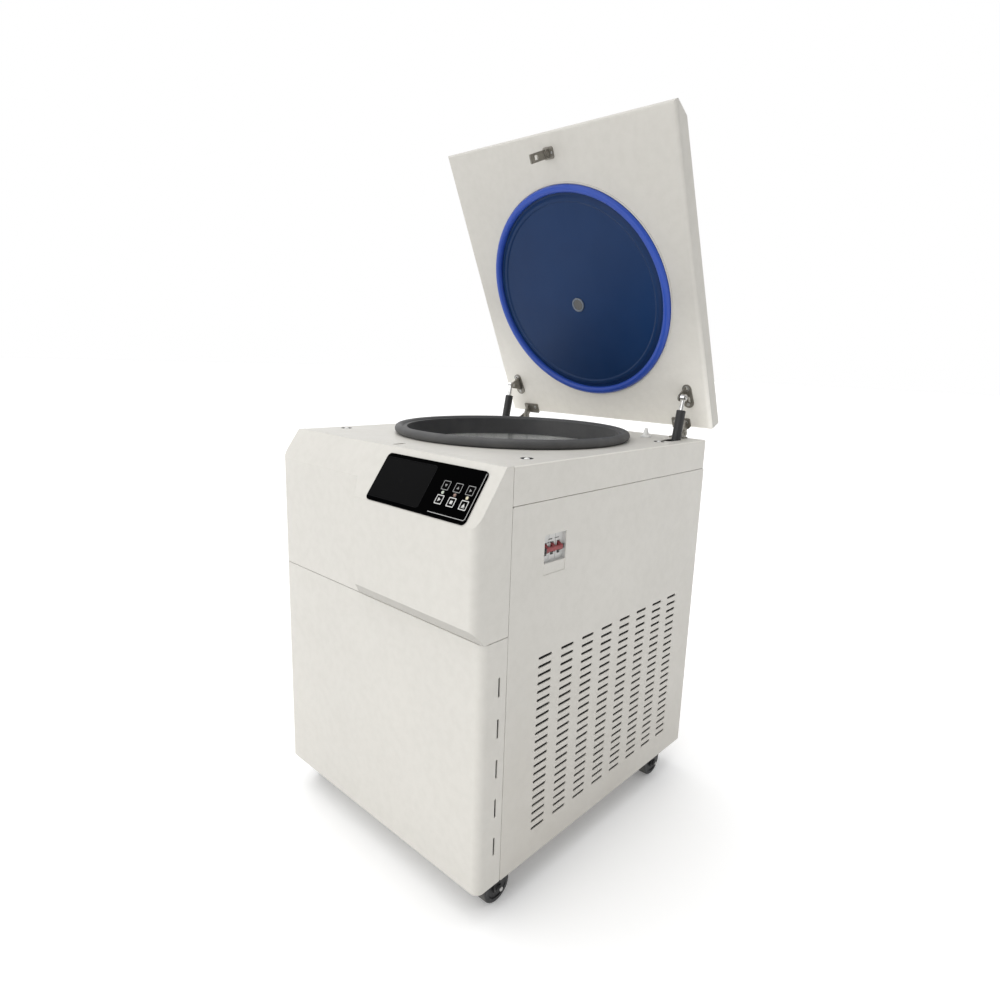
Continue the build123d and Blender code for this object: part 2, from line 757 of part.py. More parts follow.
with BuildPart() as compressor:
    with BuildSketch(Plane.XY.offset(floor_z + floor_thickness + 12)):
        with Locations(compressor_at):
            Circle(76)
    extrude(amount=200)
    fillet(compressor.edges().filter_by(GeomType.CIRCLE).group_by(Axis.Z)[-1], 34)
    with BuildSketch(Plane.XY.offset(floor_z + floor_thickness + 8)):
        with Locations(compressor_at):
            RectangleRounded(170, 150, 20)
    extrude(amount=6)
    with BuildSketch(Plane.XY.offset(floor_z + floor_thickness)):
        with Locations(compressor_at):
            with GridLocations(140, 120, 2, 2):
                Circle(10)
    extrude(amount=8)
    with BuildSketch(Plane.XY.offset(floor_z + floor_thickness + 120)):
        with Locations((compressor_at[0] + 70, compressor_at[1] - 20)):
            Rectangle(40, 34)
    extrude(amount=40)
compressor.part.label = "compressor"
export_step(compressor.part, "parts/compressor.step")

condenser_x = (216, 266)
fan_z = 275
fan_y = 0
fan_opening = 132
fan_tip = 126

with BuildPart() as condenser:
    with BuildSketch(Plane.YZ.offset(condenser_x[0])):
        with Locations((fan_y, fan_z)):
            Rectangle(380, 330)
    extrude(amount=condenser_x[1] - condenser_x[0])
    with BuildSketch(Plane.YZ.offset(condenser_x[0])):
        with Locations((fan_y, fan_z)):
            with GridLocations(12, 0, 29, 1):
                Rectangle(7, 310)
    extrude(amount=8, mode=Mode.SUBTRACT)
    with BuildSketch(Plane.YZ.offset(condenser_x[1])):
        with Locations((fan_y, fan_z)):
            with GridLocations(12, 0, 29, 1):
                Rectangle(7, 310)
    extrude(amount=-8, mode=Mode.SUBTRACT)
    with BuildSketch(Plane.XY.offset(floor_z + floor_thickness)):
        with Locations(*[(sum(condenser_x) / 2, fan_y + end * 165) for end in (-1, 1)]):
            Rectangle(44, 30)
    extrude(amount=fan_z - 165 - floor_z - floor_thickness)
condenser.part.label = "condenser"
export_step(condenser.part, "parts/condenser.step")

with BuildPart() as fan_shroud:
    with BuildSketch(Plane.YZ.offset(180)):
        with Locations((fan_y, fan_z)):
            Rectangle(380, 330)
            Circle(fan_opening, mode=Mode.SUBTRACT)
    extrude(amount=35.5)
    with BuildSketch(Plane.YZ.offset(184)):
        with Locations((fan_y, fan_z)):
            Rectangle(374, 324)
            Circle(fan_opening + 3, mode=Mode.SUBTRACT)
    extrude(amount=40, mode=Mode.SUBTRACT)
    with BuildSketch(Plane.YZ.offset(180)):
        with Locations((fan_y, fan_z)):
            Circle(fan_opening + 4)
            Circle(fan_opening, mode=Mode.SUBTRACT)
    extrude(amount=20)
    with BuildSketch(Plane.YZ.offset(176)):
        with Locations((fan_y, fan_z)):
            Rectangle(2 * fan_opening + 16, 10)
            Rectangle(10, 2 * fan_opening + 16)
            Circle(34)
    extrude(amount=5)
    with BuildSketch(Plane.YZ.offset(140)):
        with Locations((fan_y, fan_z)):
            Circle(34)
    extrude(amount=40)
    with BuildSketch(Plane.YZ.offset(150)):
        with Locations((fan_y, fan_z)):
            Circle(5 + running_gap)
    extrude(amount=60, mode=Mode.SUBTRACT)
fan_shroud.part.label = "fan_shroud"
export_step(fan_shroud.part, "parts/fan_shroud.step")

fan_blades = 5

with BuildPart() as fan_rotor:
    with BuildSketch(Plane.YZ.offset(152)):
        with Locations((fan_y, fan_z)):
            Circle(5)
    extrude(amount=34)
    with BuildSketch(Plane.YZ.offset(185)):
        with Locations((fan_y, fan_z)):
            Circle(30)
    extrude(amount=22)
    for blade in range(fan_blades):
        turn_angle = 360 / fan_blades * blade
        with Locations(Location((196, fan_y, fan_z), (turn_angle, 0, 0))):
            with Locations(Location((0, (fan_tip + 26) / 2, 0), (0, 28, 0))):
                Box(1.6, fan_tip - 30, 40)
fan_rotor.part.label = "fan_rotor"
export_step(fan_rotor.part, "parts/fan_rotor.step")

# Electronics: inverter box at the front left, breaker behind its window
with BuildPart() as drive_unit:
    with BuildSketch(Plane.XY.offset(floor_z + floor_thickness)):
        with Locations((-215, -160)):
            RectangleRounded(110, 200, 5)
    extrude(amount=300)
    with BuildSketch(Plane.XY.offset(floor_z + floor_thickness + 20)):
        with Locations((-268, -160)):
            with GridLocations(0, 10, 1, 19):
                Rectangle(20, 5)
    extrude(amount=260, mode=Mode.SUBTRACT)
drive_unit.part.label = "drive_unit"
export_step(drive_unit.part, "parts/drive_unit.step")

breaker_face_x = half_width - 8
breaker_pole = 17.6
pole_face = 45
bezel = 2
toggle_radius = 9
toggle_z = breaker_z - 3
toggle_x = breaker_face_x - 4

with BuildPart() as breaker_body:
    with BuildSketch(Plane.YZ.offset(breaker_face_x - 60)):
        with Locations((breaker_y, breaker_z)):
            Rectangle(3 * breaker_pole, 82)
    extrude(amount=44)
    with BuildSketch(Plane.YZ.offset(breaker_face_x - 16)):
        with Locations((breaker_y, breaker_z)):
            Rectangle(3 * breaker_pole, pole_face)
    extrude(amount=16)
    with BuildSketch(Plane.YZ.offset(breaker_face_x - bezel)):
        with Locations((breaker_y, breaker_z)):
            Rectangle(breaker_window[0] + 5, breaker_window[1] + 5)
            Rectangle(3 * breaker_pole - 0.4, pole_face - 0.4, mode=Mode.SUBTRACT)
    extrude(amount=bezel)
    with BuildSketch(Plane.YZ.offset(breaker_face_x - bezel)):
        with Locations((breaker_y, breaker_z)):
            Rectangle(breaker_window[0] + 5, breaker_window[1] + 5)
            Rectangle(breaker_window[0] + 1, breaker_window[1] + 1, mode=Mode.SUBTRACT)
    extrude(amount=half_width - sheet - 0.3 - breaker_face_x + bezel)
    with BuildSketch(Plane.YZ.offset(breaker_face_x - 22)):
        with Locations(*[(breaker_y + pole * breaker_pole, toggle_z) for pole in (-1, 0, 1)]):
            Rectangle(8, 23)
    extrude(amount=30, mode=Mode.SUBTRACT)
breaker_body.part.label = "breaker_body"
export_step(breaker_body.part, "parts/breaker_body.step")

with BuildPart() as breaker_toggle:
    for pole in (-1, 0, 1):
        with BuildSketch(Plane.XZ.offset(-breaker_y - pole * breaker_pole - 3.5)):
            with Locations((toggle_x, toggle_z)):
                Circle(toggle_radius)
            with BuildLine():
                Polyline(
                    (toggle_x + 2, toggle_z - 7),
                    (toggle_x + 10, toggle_z - 5),
                    (toggle_x + 11, toggle_z + 4),
                    (toggle_x, toggle_z + 8),
                    close=True,
                )
            make_face()
        extrude(amount=7)
    with BuildSketch(Plane.XZ.offset(-breaker_y - 1.5 * breaker_pole + 1)):
        with Locations((toggle_x + 9, toggle_z + 0.5)):
            RectangleRounded(4.5, 8, 1.5)
    extrude(amount=3 * breaker_pole - 2)
breaker_toggle.part.label = "breaker_toggle"
export_step(breaker_toggle.part, "parts/breaker_toggle.step")

with BuildPart() as lid_latch:
    with BuildSketch(Plane.XY.offset(top_z - sheet - 58)):
        with Locations((0, latch_y + 4)):
            Rectangle(70, 34)
    extrude(amount=57)
    with BuildSketch(Plane.XY.offset(top_z - sheet - 44)):
        with Locations((0, latch_y)):
            Rectangle(latch_slot[1], latch_slot[0] - 2)
    extrude(amount=60, mode=Mode.SUBTRACT)
lid_latch.part.label = "lid_latch"
export_step(lid_latch.part, "parts/lid_latch.step")

# Lid frame: x across, s from its rear edge to its front edge, h off its inner face
open_sin = sin(radians(lid_angle))
open_cos = cos(radians(lid_angle))


def opened(y, z):
    """Where a point of the closed lid lies once the lid is open."""
    dy = y - hinge_y
    dz = z - hinge_z
    return hinge_y + dy * open_cos + dz * open_sin, hinge_z - dy * open_sin + dz * open_cos


lid_origin_y, lid_origin_z = opened(lid_rear_y, lid_face_z)
lid_plane = Plane(
    origin=(0, lid_origin_y, lid_origin_z), x_dir=(1, 0, 0), z_dir=(0, -open_sin, -open_cos)
)


def lid_side(x):
    """Plane across the lid at x, with s along its first axis and h along its second."""
    return Plane(origin=(x, lid_origin_y, lid_origin_z), x_dir=lid_plane.y_dir, z_dir=(1, 0, 0))


def lid_point(x, s, h):
    """A point of the open lid in the object's frame."""
    return lid_plane.from_local_coords((x, s, h))


tray_depth = 9
lid_edge_radius = 7
liner_radius = 241.5
liner_inner = 225
liner_rise = 10
viewport_s = 294
viewport_radius = 16.3

with BuildPart() as lid_shell:
    with BuildSketch(lid_side(-half_width)):
        with BuildLine():
            Polyline(
                (0, -lid_thickness),
                (lid_length - 38, -lid_thickness),
                (lid_length, -tray_depth - 3),
                (lid_length, -tray_depth - 0.3),
                (0, -tray_depth - 0.3),
                close=True,
            )
        make_face()
    extrude(amount=2 * half_width)
    lid_h = Axis(lid_point(0, 0, 0), lid_plane.z_dir)
    outer_rim = lid_shell.faces().sort_by(lid_h)[0].edges()
    fillet(outer_rim, 6)
    with BuildSketch(lid_side(-half_width + lid_wall)):
        with BuildLine():
            Polyline(
                (lid_wall, -lid_thickness + lid_wall),
                (lid_length - 40, -lid_thickness + lid_wall),
                (lid_length - lid_wall - 1, -tray_depth - 3),
                (lid_length - lid_wall - 1, -tray_depth + 1),
                (lid_wall, -tray_depth + 1),
                close=True,
            )
        make_face()
    extrude(amount=2 * (half_width - lid_wall), mode=Mode.SUBTRACT)
    with BuildSketch(lid_plane.offset(-lid_thickness)):
        with Locations((0, viewport_s)):
            Circle(viewport_radius + 0.2)
    extrude(amount=lid_wall, mode=Mode.SUBTRACT)
lid_shell.part.label = "lid_shell"
export_step(lid_shell.part, "parts/lid_shell.step")

with BuildPart() as lid_inner_panel:
    with BuildSketch(lid_plane.offset(-tray_depth)):
        with Locations((0, lid_length / 2)):
            Rectangle(2 * half_width, lid_length)
    extrude(amount=tray_depth)
    fillet(lid_inner_panel.faces().sort_by(lid_h)[-1].edges(), lid_edge_radius)
    with BuildSketch(lid_plane.offset(-tray_depth)):
        with Locations((0, lid_length / 2)):
            Rectangle(2 * half_width - 12, lid_length - 12)
    extrude(amount=tray_depth - 2, mode=Mode.SUBTRACT)
    with BuildSketch(lid_plane):
        with Locations((0, liner_s)):
            Circle(liner_radius + 4)
            Circle(liner_radius + 1, mode=Mode.SUBTRACT)
    extrude(amount=1.5)
    with BuildSketch(lid_plane.offset(-4)):
        with Locations((0, liner_s)):
            Circle(liner_radius - 9)
    extrude(amount=8, mode=Mode.SUBTRACT)
lid_inner_panel.part.label = "lid_inner_panel"
export_step(lid_inner_panel.part, "parts/lid_inner_panel.step")

liner_axis = Axis(lid_point(0, liner_s, 0), lid_plane.z_dir)
liner_side = Plane(origin=lid_point(0, liner_s, 0), x_dir=(1, 0, 0), z_dir=-lid_plane.y_dir)

with BuildPart() as liner_rim:
    with BuildSketch(liner_side) as rim_profile:
        with Locations(((liner_radius + liner_inner) / 2, liner_rise / 2)):
            Rectangle(liner_radius - liner_inner, liner_rise)
        fillet(rim_profile.vertices().sort_by(Axis.Y)[-2:], 8)
    revolve(axis=liner_axis)
liner_rim.part.label = "liner_rim"
export_step(liner_rim.part, "parts/liner_rim.step")

disc_thickness = 2.5
bead_radius = 211
bead_height = 2.2

with BuildPart() as liner_disc:
    with BuildSketch(liner_side):
        with BuildLine():
            FilletPolyline(
                (0, 1),
                (bead_radius - 6, 1),
                (bead_radius - 2.5, 1 + bead_height),
                (bead_radius + 2.5, 1 + bead_height),
                (bead_radius + 9, -0.2),
                (liner_radius - 10, -0.2),
                radius=3,
            )
            offset(amount=disc_thickness, side=Side.RIGHT)
        make_face()
    revolve(axis=liner_axis)
    with BuildSketch(lid_plane.offset(-10)):
        with Locations((0, viewport_s)):
            Circle(viewport_radius + 0.2)
    extrude(amount=20, mode=Mode.SUBTRACT)
liner_disc.part.label = "liner_disc"
export_step(liner_disc.part, "parts/liner_disc.step")

with BuildPart() as lid_viewport:
    with BuildSketch(lid_plane.offset(-lid_thickness - 1)):
        with Locations((0, viewport_s)):
            Circle(viewport_radius)
    extrude(amount=lid_thickness + 3)
    with BuildSketch(lid_plane.offset(-lid_thickness - 2)):
        with Locations((0, viewport_s)):
            Circle(viewport_radius + 5)
    extrude(amount=1.9)
lid_viewport.part.label = "lid_viewport"
export_step(lid_viewport.part, "parts/lid_viewport.step")

# Striker: an upright blade with a square hole, on a foot against the lid's inner face
striker_s = lid_rear_y - latch_y
striker_reach = 62
striker_width = 18

with BuildPart() as lid_striker:
    with BuildSketch(lid_side(-1.5)):
        with Locations((striker_s, striker_reach / 2)):
            Rectangle(striker_width, striker_reach)
        with Locations((striker_s, striker_reach * 0.7)):
            Rectangle(9, 11, mode=Mode.SUBTRACT)
    extrude(amount=3)
    with BuildSketch(lid_plane):
        with Locations((0, striker_s)):
            RectangleRounded(26, 24, 5)
    extrude(amount=2.5)
    with BuildSketch(lid_side(-6)):
        with Locations((striker_s, 11)):
            Circle(4)
    extrude(amount=12)
    with BuildSketch(lid_side(1.5)):
        with Locations((striker_s, 9)):
            Circle(8.5)
    extrude(amount=2.5)
lid_striker.part.label = "lid_striker"
export_step(lid_striker.part, "parts/lid_striker.step")

# Hinges: a leaf on the lid whose knuckle turns on a pin between two lugs on the deck
hinge_s = lid_rear_y - hinge_y
hinge_h = lid_face_z - hinge_z
hinge_pin = 4
knuckle = 7.5
knuckle_half = 3
knuckle_offset = 12  # outwards from the leaf's middle
lug_thickness = 3.4
lug_gap = 0.4
leaf_size = (46, 26)

with BuildPart() as hinge_bases:
    for side in (-1, 1):
        knuckle_x = side * (hinge_x + knuckle_offset)
        for lug_side in (-1, 1):
            lug_x = knuckle_x + lug_side * (knuckle_half + lug_gap + lug_thickness / 2)
            with BuildSketch(Plane.YZ.offset(lug_x - lug_thickness / 2)):
                with Locations((hinge_y, hinge_z)):
                    Circle(knuckle)
                with BuildLine():
                    Polyline(
                        (hinge_y - 26, top_z),
                        (hinge_y - 2, top_z),
                        (hinge_y + 5, hinge_z - 4),
                        (hinge_y - 4, hinge_z + 6),
                        (hinge_y - 14, hinge_z),
                        (hinge_y - 26, top_z + 4),
                        close=True,
                    )
                make_face()
            extrude(amount=lug_thickness)
        pin_half = knuckle_half + lug_gap + lug_thickness + 1.2
        with BuildSketch(Plane.YZ.offset(knuckle_x - pin_half)):
            with Locations((hinge_y, hinge_z)):
                Circle(hinge_pin)
        extrude(amount=2 * pin_half)
        with BuildSketch(Plane.XY.offset(top_z)):
            with Locations((knuckle_x, hinge_y - 20)):
                RectangleRounded(38, 21, 3)
                with GridLocations(26, 0, 2, 1):
                    Circle(2.2, mode=Mode.SUBTRACT)
        extrude(amount=3)
hinge_bases.part.label = "hinge_bases"
export_step(hinge_bases.part, "parts/hinge_bases.step")

with BuildPart() as hinge_leaves:
    for side in (-1, 1):
        knuckle_x = side * (hinge_x + knuckle_offset)
        with BuildSketch(lid_plane) as leaf:
            with Locations((side * hinge_x, 11)):
                Rectangle(*leaf_size)
            outer_edge = leaf.vertices().group_by(Axis.X)[-1 if side > 0 else 0]
            chamfer(outer_edge.sort_by(Axis.Y)[0], 6)
            fillet(leaf.vertices(), 2.5)
            with Locations(*[(side * hinge_x + hole * 14, 15) for hole in (-1, 1)]):
                Circle(2.6, mode=Mode.SUBTRACT)
        extrude(amount=3)
        with BuildSketch(lid_side(knuckle_x - knuckle_half)):
            with Locations((hinge_s, hinge_h)):
                Circle(knuckle)
            with BuildLine():
                Polyline(
                    (0, 0),
                    (22, 0),
                    (20, 5),
                    (hinge_s + 6, hinge_h + 4),
                    (hinge_s - 4, hinge_h - 6),
                    close=True,
                )
            make_face()
            with Locations((hinge_s, hinge_h)):
                Circle(hinge_pin + running_gap, mode=Mode.SUBTRACT)
        extrude(amount=2 * knuckle_half)
hinge_leaves.part.label = "hinge_leaves"
export_step(hinge_leaves.part, "parts/hinge_leaves.step")

# Lid struts: bracket on the lid, tube hung from it, rod that slides in the tube
web_offset = 9  # from the strut's middle plane in to the bracket's web

with BuildPart() as strut_brackets:
    for side in (-1, 1):
        web_x = side * (strut_x - web_offset)
        plate_x = side * (strut_x - web_offset + 4)
        with BuildSketch(lid_plane):
            with Locations((plate_x, strut_pivot_s + 8)):
                Circle(11)
            with Locations((plate_x, strut_pivot_s - 24)):
                Circle(13)
            with Locations((plate_x, strut_pivot_s - 8)):
                Trapezoid(26, 32, 86)
            with Locations((plate_x, strut_pivot_s + 10)):
                Circle(4, mode=Mode.SUBTRACT)
            with Locations((plate_x + side * 3, strut_pivot_s - 17)):
                SlotOverall(15, 6, rotation=90, mode=Mode.SUBTRACT)
        extrude(amount=2.5)
        with BuildSketch(lid_side(web_x - 1.5)):
            with Locations((strut_pivot_s, strut_pivot_h)):
                Circle(8)
            with BuildLine():
                Polyline(
                    (strut_pivot_s - 24, 0),
                    (strut_pivot_s + 12, 0),
                    (strut_pivot_s + 7.5, strut_pivot_h + 2),
                    (strut_pivot_s - 7, strut_pivot_h + 4),
                    close=True,
                )
            make_face()
        extrude(amount=3)
        with BuildSketch(lid_side(side * (strut_x - 1) - 8)):
            with Locations((strut_pivot_s, strut_pivot_h)):
                Circle(3.5)
        extrude(amount=16)
strut_brackets.part.label = "strut_brackets"
export_step(strut_brackets.part, "parts/strut_brackets.step")

pivot_y, pivot_z = opened(lid_rear_y - strut_pivot_s, lid_face_z - strut_pivot_h)
strut_open_length = hypot(pivot_y - strut_anchor_y, pivot_z - strut_anchor_z)
strut_lean = degrees(atan2(pivot_y - strut_anchor_y, pivot_z - strut_anchor_z))
strut_down = (0, -sin(radians(strut_lean)), -cos(radians(strut_lean)))
eye_half = 5
tube_bore = 8
tube_end = 8

for side, name in ((-1, "left"), (1, "right")):
    top_pivot = Vector(side * strut_x, pivot_y, pivot_z)
    along = Plane(origin=top_pivot, x_dir=(1, 0, 0), z_dir=strut_down)
    across = Plane(origin=top_pivot - Vector(eye_half, 0, 0), x_dir=(0, 1, 0), z_dir=(1, 0, 0))
    foot_pivot = Vector(side * strut_x, strut_anchor_y, strut_anchor_z)
    foot = Plane(origin=foot_pivot - Vector(eye_half, 0, 0), x_dir=(0, 1, 0), z_dir=(1, 0, 0))

    with BuildPart() as strut_tube:
        with BuildSketch(across):
            Circle(7.5)
        extrude(amount=2 * eye_half)
        with BuildSketch(along.offset(5)):
            Circle(4)
        extrude(amount=strut_tube_start - 5)
        with BuildSketch(along.offset(strut_tube_start - 10)):
            Circle(5)
        extrude(amount=10)
        with BuildSketch(along.offset(strut_tube_start)):
            Circle(strut_tube_radius)
        extrude(amount=strut_tube_length)
        fillet(strut_tube.edges().filter_by(GeomType.CIRCLE).filter_by(
            lambda e: abs(e.radius - strut_tube_radius) < 0.01), 2)
        with BuildSketch(along.offset(strut_tube_start + 10)):
            Circle(tube_bore)
        extrude(amount=strut_tube_length - 10 - tube_end, mode=Mode.SUBTRACT)
        with BuildSketch(along.offset(strut_tube_start + 10)):
            Circle(strut_rod_radius + running_gap)
        extrude(amount=strut_tube_length, mode=Mode.SUBTRACT)
        with BuildSketch(across.offset(-5)):
            Circle(3.5 + running_gap)
        extrude(amount=2 * eye_half + 10, mode=Mode.SUBTRACT)
    strut_tube.part.label = f"strut_tube_{name}"
    export_step(strut_tube.part, f"parts/strut_tube_{name}.step")

    piston_at = strut_tube_start + strut_tube_length - tube_end - 12
    with BuildPart() as strut_rod:
        with BuildSketch(along.offset(piston_at)):
            Circle(strut_rod_radius)
        extrude(amount=strut_open_length - piston_at - 4)
        with BuildSketch(along.offset(piston_at)):
            Circle(tube_bore - 0.4)
        extrude(amount=8)
        with BuildSketch(foot):
            Circle(7)
        extrude(amount=2 * eye_half)
        with BuildSketch(foot.offset(-4)):
            Circle(3.5)
        extrude(amount=2 * eye_half + 8)
    strut_rod.part.label = f"strut_rod_{name}"
    export_step(strut_rod.part, f"parts/strut_rod_{name}.step")
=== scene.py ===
"""Looks for the floor-standing centrifuge: materials on every CAD piece, small trim, light and camera."""

import json
import math

import bmesh
import bpy
from mathutils import Matrix, Vector


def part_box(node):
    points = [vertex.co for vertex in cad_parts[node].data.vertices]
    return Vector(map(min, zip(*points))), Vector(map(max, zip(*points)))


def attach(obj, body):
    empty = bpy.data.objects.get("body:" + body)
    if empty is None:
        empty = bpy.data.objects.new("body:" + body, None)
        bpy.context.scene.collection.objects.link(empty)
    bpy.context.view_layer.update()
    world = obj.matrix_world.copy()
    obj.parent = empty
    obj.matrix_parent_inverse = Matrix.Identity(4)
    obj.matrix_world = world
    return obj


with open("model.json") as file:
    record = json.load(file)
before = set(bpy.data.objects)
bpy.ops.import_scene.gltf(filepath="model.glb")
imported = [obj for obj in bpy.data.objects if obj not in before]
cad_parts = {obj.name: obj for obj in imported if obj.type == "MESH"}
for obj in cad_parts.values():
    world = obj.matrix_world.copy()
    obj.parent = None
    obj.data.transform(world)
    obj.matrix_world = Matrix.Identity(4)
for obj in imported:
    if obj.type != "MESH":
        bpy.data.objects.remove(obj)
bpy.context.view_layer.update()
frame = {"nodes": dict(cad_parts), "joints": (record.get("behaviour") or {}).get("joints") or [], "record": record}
joints = {joint["name"]: joint for joint in frame["joints"]}

CHAMBER_AXIS = Vector(joints["rotor_spin"]["pos_m"])

# ---------------------------------------------------------------- materials


class Surface:
    """One node material, patterned in the object's own coordinates, in metres."""

    def __init__(self, name):
        self.material = bpy.data.materials.new(name)
        self.material.use_nodes = True
        self.tree = self.material.node_tree
        self.shader = self.tree.nodes["Principled BSDF"]
        self.position = self.add("ShaderNodeTexCoord").outputs["Object"]

    def add(self, kind, inputs=None, **settings):
        """A new node, with its settings, and its inputs linked or filled in."""
        made = self.tree.nodes.new(kind)
        for key, value in settings.items():
            setattr(made, key, value)
        for key, value in (inputs or {}).items():
            if isinstance(value, bpy.types.NodeSocket):
                self.tree.links.new(value, made.inputs[key])
            else:
                made.inputs[key].default_value = value
        return made

    def noise(self, scale, detail=3.0, roughness=0.5, at=None):
        inputs = {"Scale": scale, "Detail": detail, "Roughness": roughness, "Vector": at or self.position}
        return self.add("ShaderNodeTexNoise", inputs).outputs["Fac"]

    def math(self, operation, first, second=0.0):
        return self.add("ShaderNodeMath", {0: first, 1: second}, operation=operation).outputs[0]

    def remap(self, value, from_low, from_high, to_low, to_high):
        """The value carried from one range to another, and held at its ends."""
        inputs = {0: value, 1: from_low, 2: from_high, 3: to_low, 4: to_high}
        return self.add("ShaderNodeMapRange", inputs).outputs[0]

    def ramp(self, value, *stops):
        """A colour ramp through (place, colour) stops."""
        node = self.add("ShaderNodeValToRGB", {"Fac": value})
        elements = node.color_ramp.elements
        for element, (place, colour) in zip((elements[0], elements[-1]), (stops[0], stops[-1])):
            element.position = place
            element.color = (*colour, 1.0)
        for place, colour in stops[1:-1]:
            elements.new(place).color = (*colour, 1.0)
        return node.outputs["Color"]

    def blend(self, amount, first, second):
        """Colour mixed from first to second."""
        inputs = {0: amount, 6: first, 7: second}
        return self.add("ShaderNodeMix", inputs, data_type="RGBA").outputs[2]

    def scaled(self, colour, factor):
        """A colour made darker or paler by a factor."""
        return self.add("ShaderNodeVectorMath", {0: colour, 3: factor}, operation="SCALE").outputs[0]

    def axes(self, at=None):
        """The x, y and z of a point."""
        node = self.add("ShaderNodeSeparateXYZ", {0: at or self.position})
        return node.outputs[0], node.outputs[1], node.outputs[2]

    def shifted(self, origin):
        """The position counted from origin."""
        inputs = {0: self.position, 1: tuple(-value for value in origin)}
        return self.add("ShaderNodeVectorMath", inputs, operation="ADD").outputs[0]

    def stretched(self, scale):
        """The position scaled by a different number along each axis."""
        inputs = {0: self.position, 1: scale}
        return self.add("ShaderNodeVectorMath", inputs, operation="MULTIPLY").outputs[0]

    def along(self, direction, origin):
        """How far a point lies from origin along a direction."""
        inputs = {0: self.shifted(origin), 1: tuple(direction)}
        return self.add("ShaderNodeVectorMath", inputs, operation="DOT_PRODUCT").outputs["Value"]

    def radius(self, origin, axis):
        """How far a point lies from the line through origin along x, y or z."""
        across = dict(zip("xyz", self.axes(self.shifted(origin))))
        del across[axis]
        first, second = across.values()
        inputs = {0: self.add("ShaderNodeCombineXYZ", {0: first, 1: second}).outputs[0]}
        return self.add("ShaderNodeVectorMath", inputs, operation="LENGTH").outputs["Value"]

    def bump(self, height, distance, strength=1.0, normal=None):
        """A normal tilted by a height pattern, on top of another normal if one is given."""
        inputs = {"Height": height, "Distance": distance, "Strength": strength}
        if normal is not None:
            inputs["Normal"] = normal
        return self.add("ShaderNodeBump", inputs).outputs["Normal"]

    def around_chamber(self):
        """A point that is the same all round the chamber's axis, for marks that run in rings."""
        inputs = {0: self.radius(CHAMBER_AXIS, "z"), 1: self.axes()[2], 2: 0.0}
        return self.add("ShaderNodeCombineXYZ", inputs).outputs[0]

    def rounded(self, radius):
        """A normal that rounds the edges over by a small radius."""
        return self.add("ShaderNodeBevel", {"Radius": radius}, samples=4).outputs["Normal"]

    def finish(self, **sockets):
        """Sets the shader's sockets and returns the material."""
        for key, value in sockets.items():
            socket = self.shader.inputs[key.replace("_", " ")]
            if isinstance(value, bpy.types.NodeSocket):
                self.tree.links.new(value, socket)
            else:
                socket.default_value = value
        return self.material


def tone(colour, factor):
    """The colour made darker or paler, no brighter than full."""
    return tuple(min(1.0, channel * factor) for channel in colour)


# A darker, yellower tone low down on the paint: partly dirt, partly painted shade.
DUST_AND_SHADE_COLOUR = (0.50, 0.465, 0.41, 1.0)
DUST_AND_SHADE_HEIGHTS = (0.06, 0.55)  # thickest at the first height, gone at the second
PAINTED_LIGHT_FADE = 0.26  # how far under the given height the painted light reaches its full lift
PAINTED_LIGHT_LIFT = 1.6


def painted(
    name,
    colour,
    roughness=0.42,
    dust_and_shade=0.0,
    edge=0.0009,
    painted_light_below=None,
    painted_edge_highlight=1.0,
    painted_underside_shade=1.0,
):
    """Powder coat with orange peel and uneven tone.

    Low down it takes a darker, yellower tone, partly dirt and partly painted shade; below a given height it turns
    paler as painted light; a painted highlight pales its rounded edges; and painted shade darkens what faces down.
    """
    surface = Surface(name)
    broad = surface.noise(2.3, 4.0, 0.55)
    fine = surface.noise(55.0, 5.0, 0.6)
    base = surface.ramp(broad, (0.3, tone(colour, 0.955)), (0.7, tone(colour, 1.015)))
    grain = surface.ramp(fine, (0.35, (0.965, 0.965, 0.962)), (0.6, (1.0, 1.0, 1.0)))
    inputs = {0: 1.0, 6: base, 7: grain}
    coat = surface.add("ShaderNodeMix", inputs, data_type="RGBA", blend_type="MULTIPLY").outputs[2]
    if dust_and_shade or painted_light_below:
        height = surface.axes()[2]
    # darker low down: partly dirt, partly painted shade
    if dust_and_shade:
        low = surface.remap(height, *DUST_AND_SHADE_HEIGHTS, dust_and_shade, 0.0)
        patches = surface.remap(surface.noise(9.0), 0.35, 0.65, 0.55, 1.0)
        coat = surface.blend(surface.math("MULTIPLY", low, patches), coat, DUST_AND_SHADE_COLOUR)
    # painted light: the paint turns paler below the given height
    if painted_light_below:
        coat = surface.scaled(
            coat, surface.remap(height, painted_light_below - PAINTED_LIGHT_FADE, painted_light_below, PAINTED_LIGHT_LIFT, 1.0)
        )
    rounded = surface.rounded(edge)
    # painted shade: surfaces that face down are darkened
    if painted_underside_shade < 1.0:
        facing_up = surface.axes(rounded)[2]
        coat = surface.scaled(coat, surface.remap(facing_up, -0.30, -0.15, painted_underside_shade, 1.0))
    # painted highlight: edges whose normals lean off the main axes are made paler
    if painted_edge_highlight > 1.0:
        x, y, z = (surface.math("ABSOLUTE", value) for value in surface.axes(rounded))
        squareness = surface.math("MAXIMUM", surface.math("MAXIMUM", x, y), z)
        coat = surface.scaled(coat, surface.remap(squareness, 0.84, 0.985, painted_edge_highlight, 1.0))
    peel = surface.noise(420.0, 2.0, 0.5)
    gloss = surface.remap(surface.noise(14.0, 4.0), 0.3, 0.7, roughness - 0.05, roughness + 0.07)
    return surface.finish(
        Base_Color=coat,
        Roughness=gloss,
        Normal=surface.bump(peel, 0.00004, 1.0, rounded),
        Specular_IOR_Level=0.4,
    )


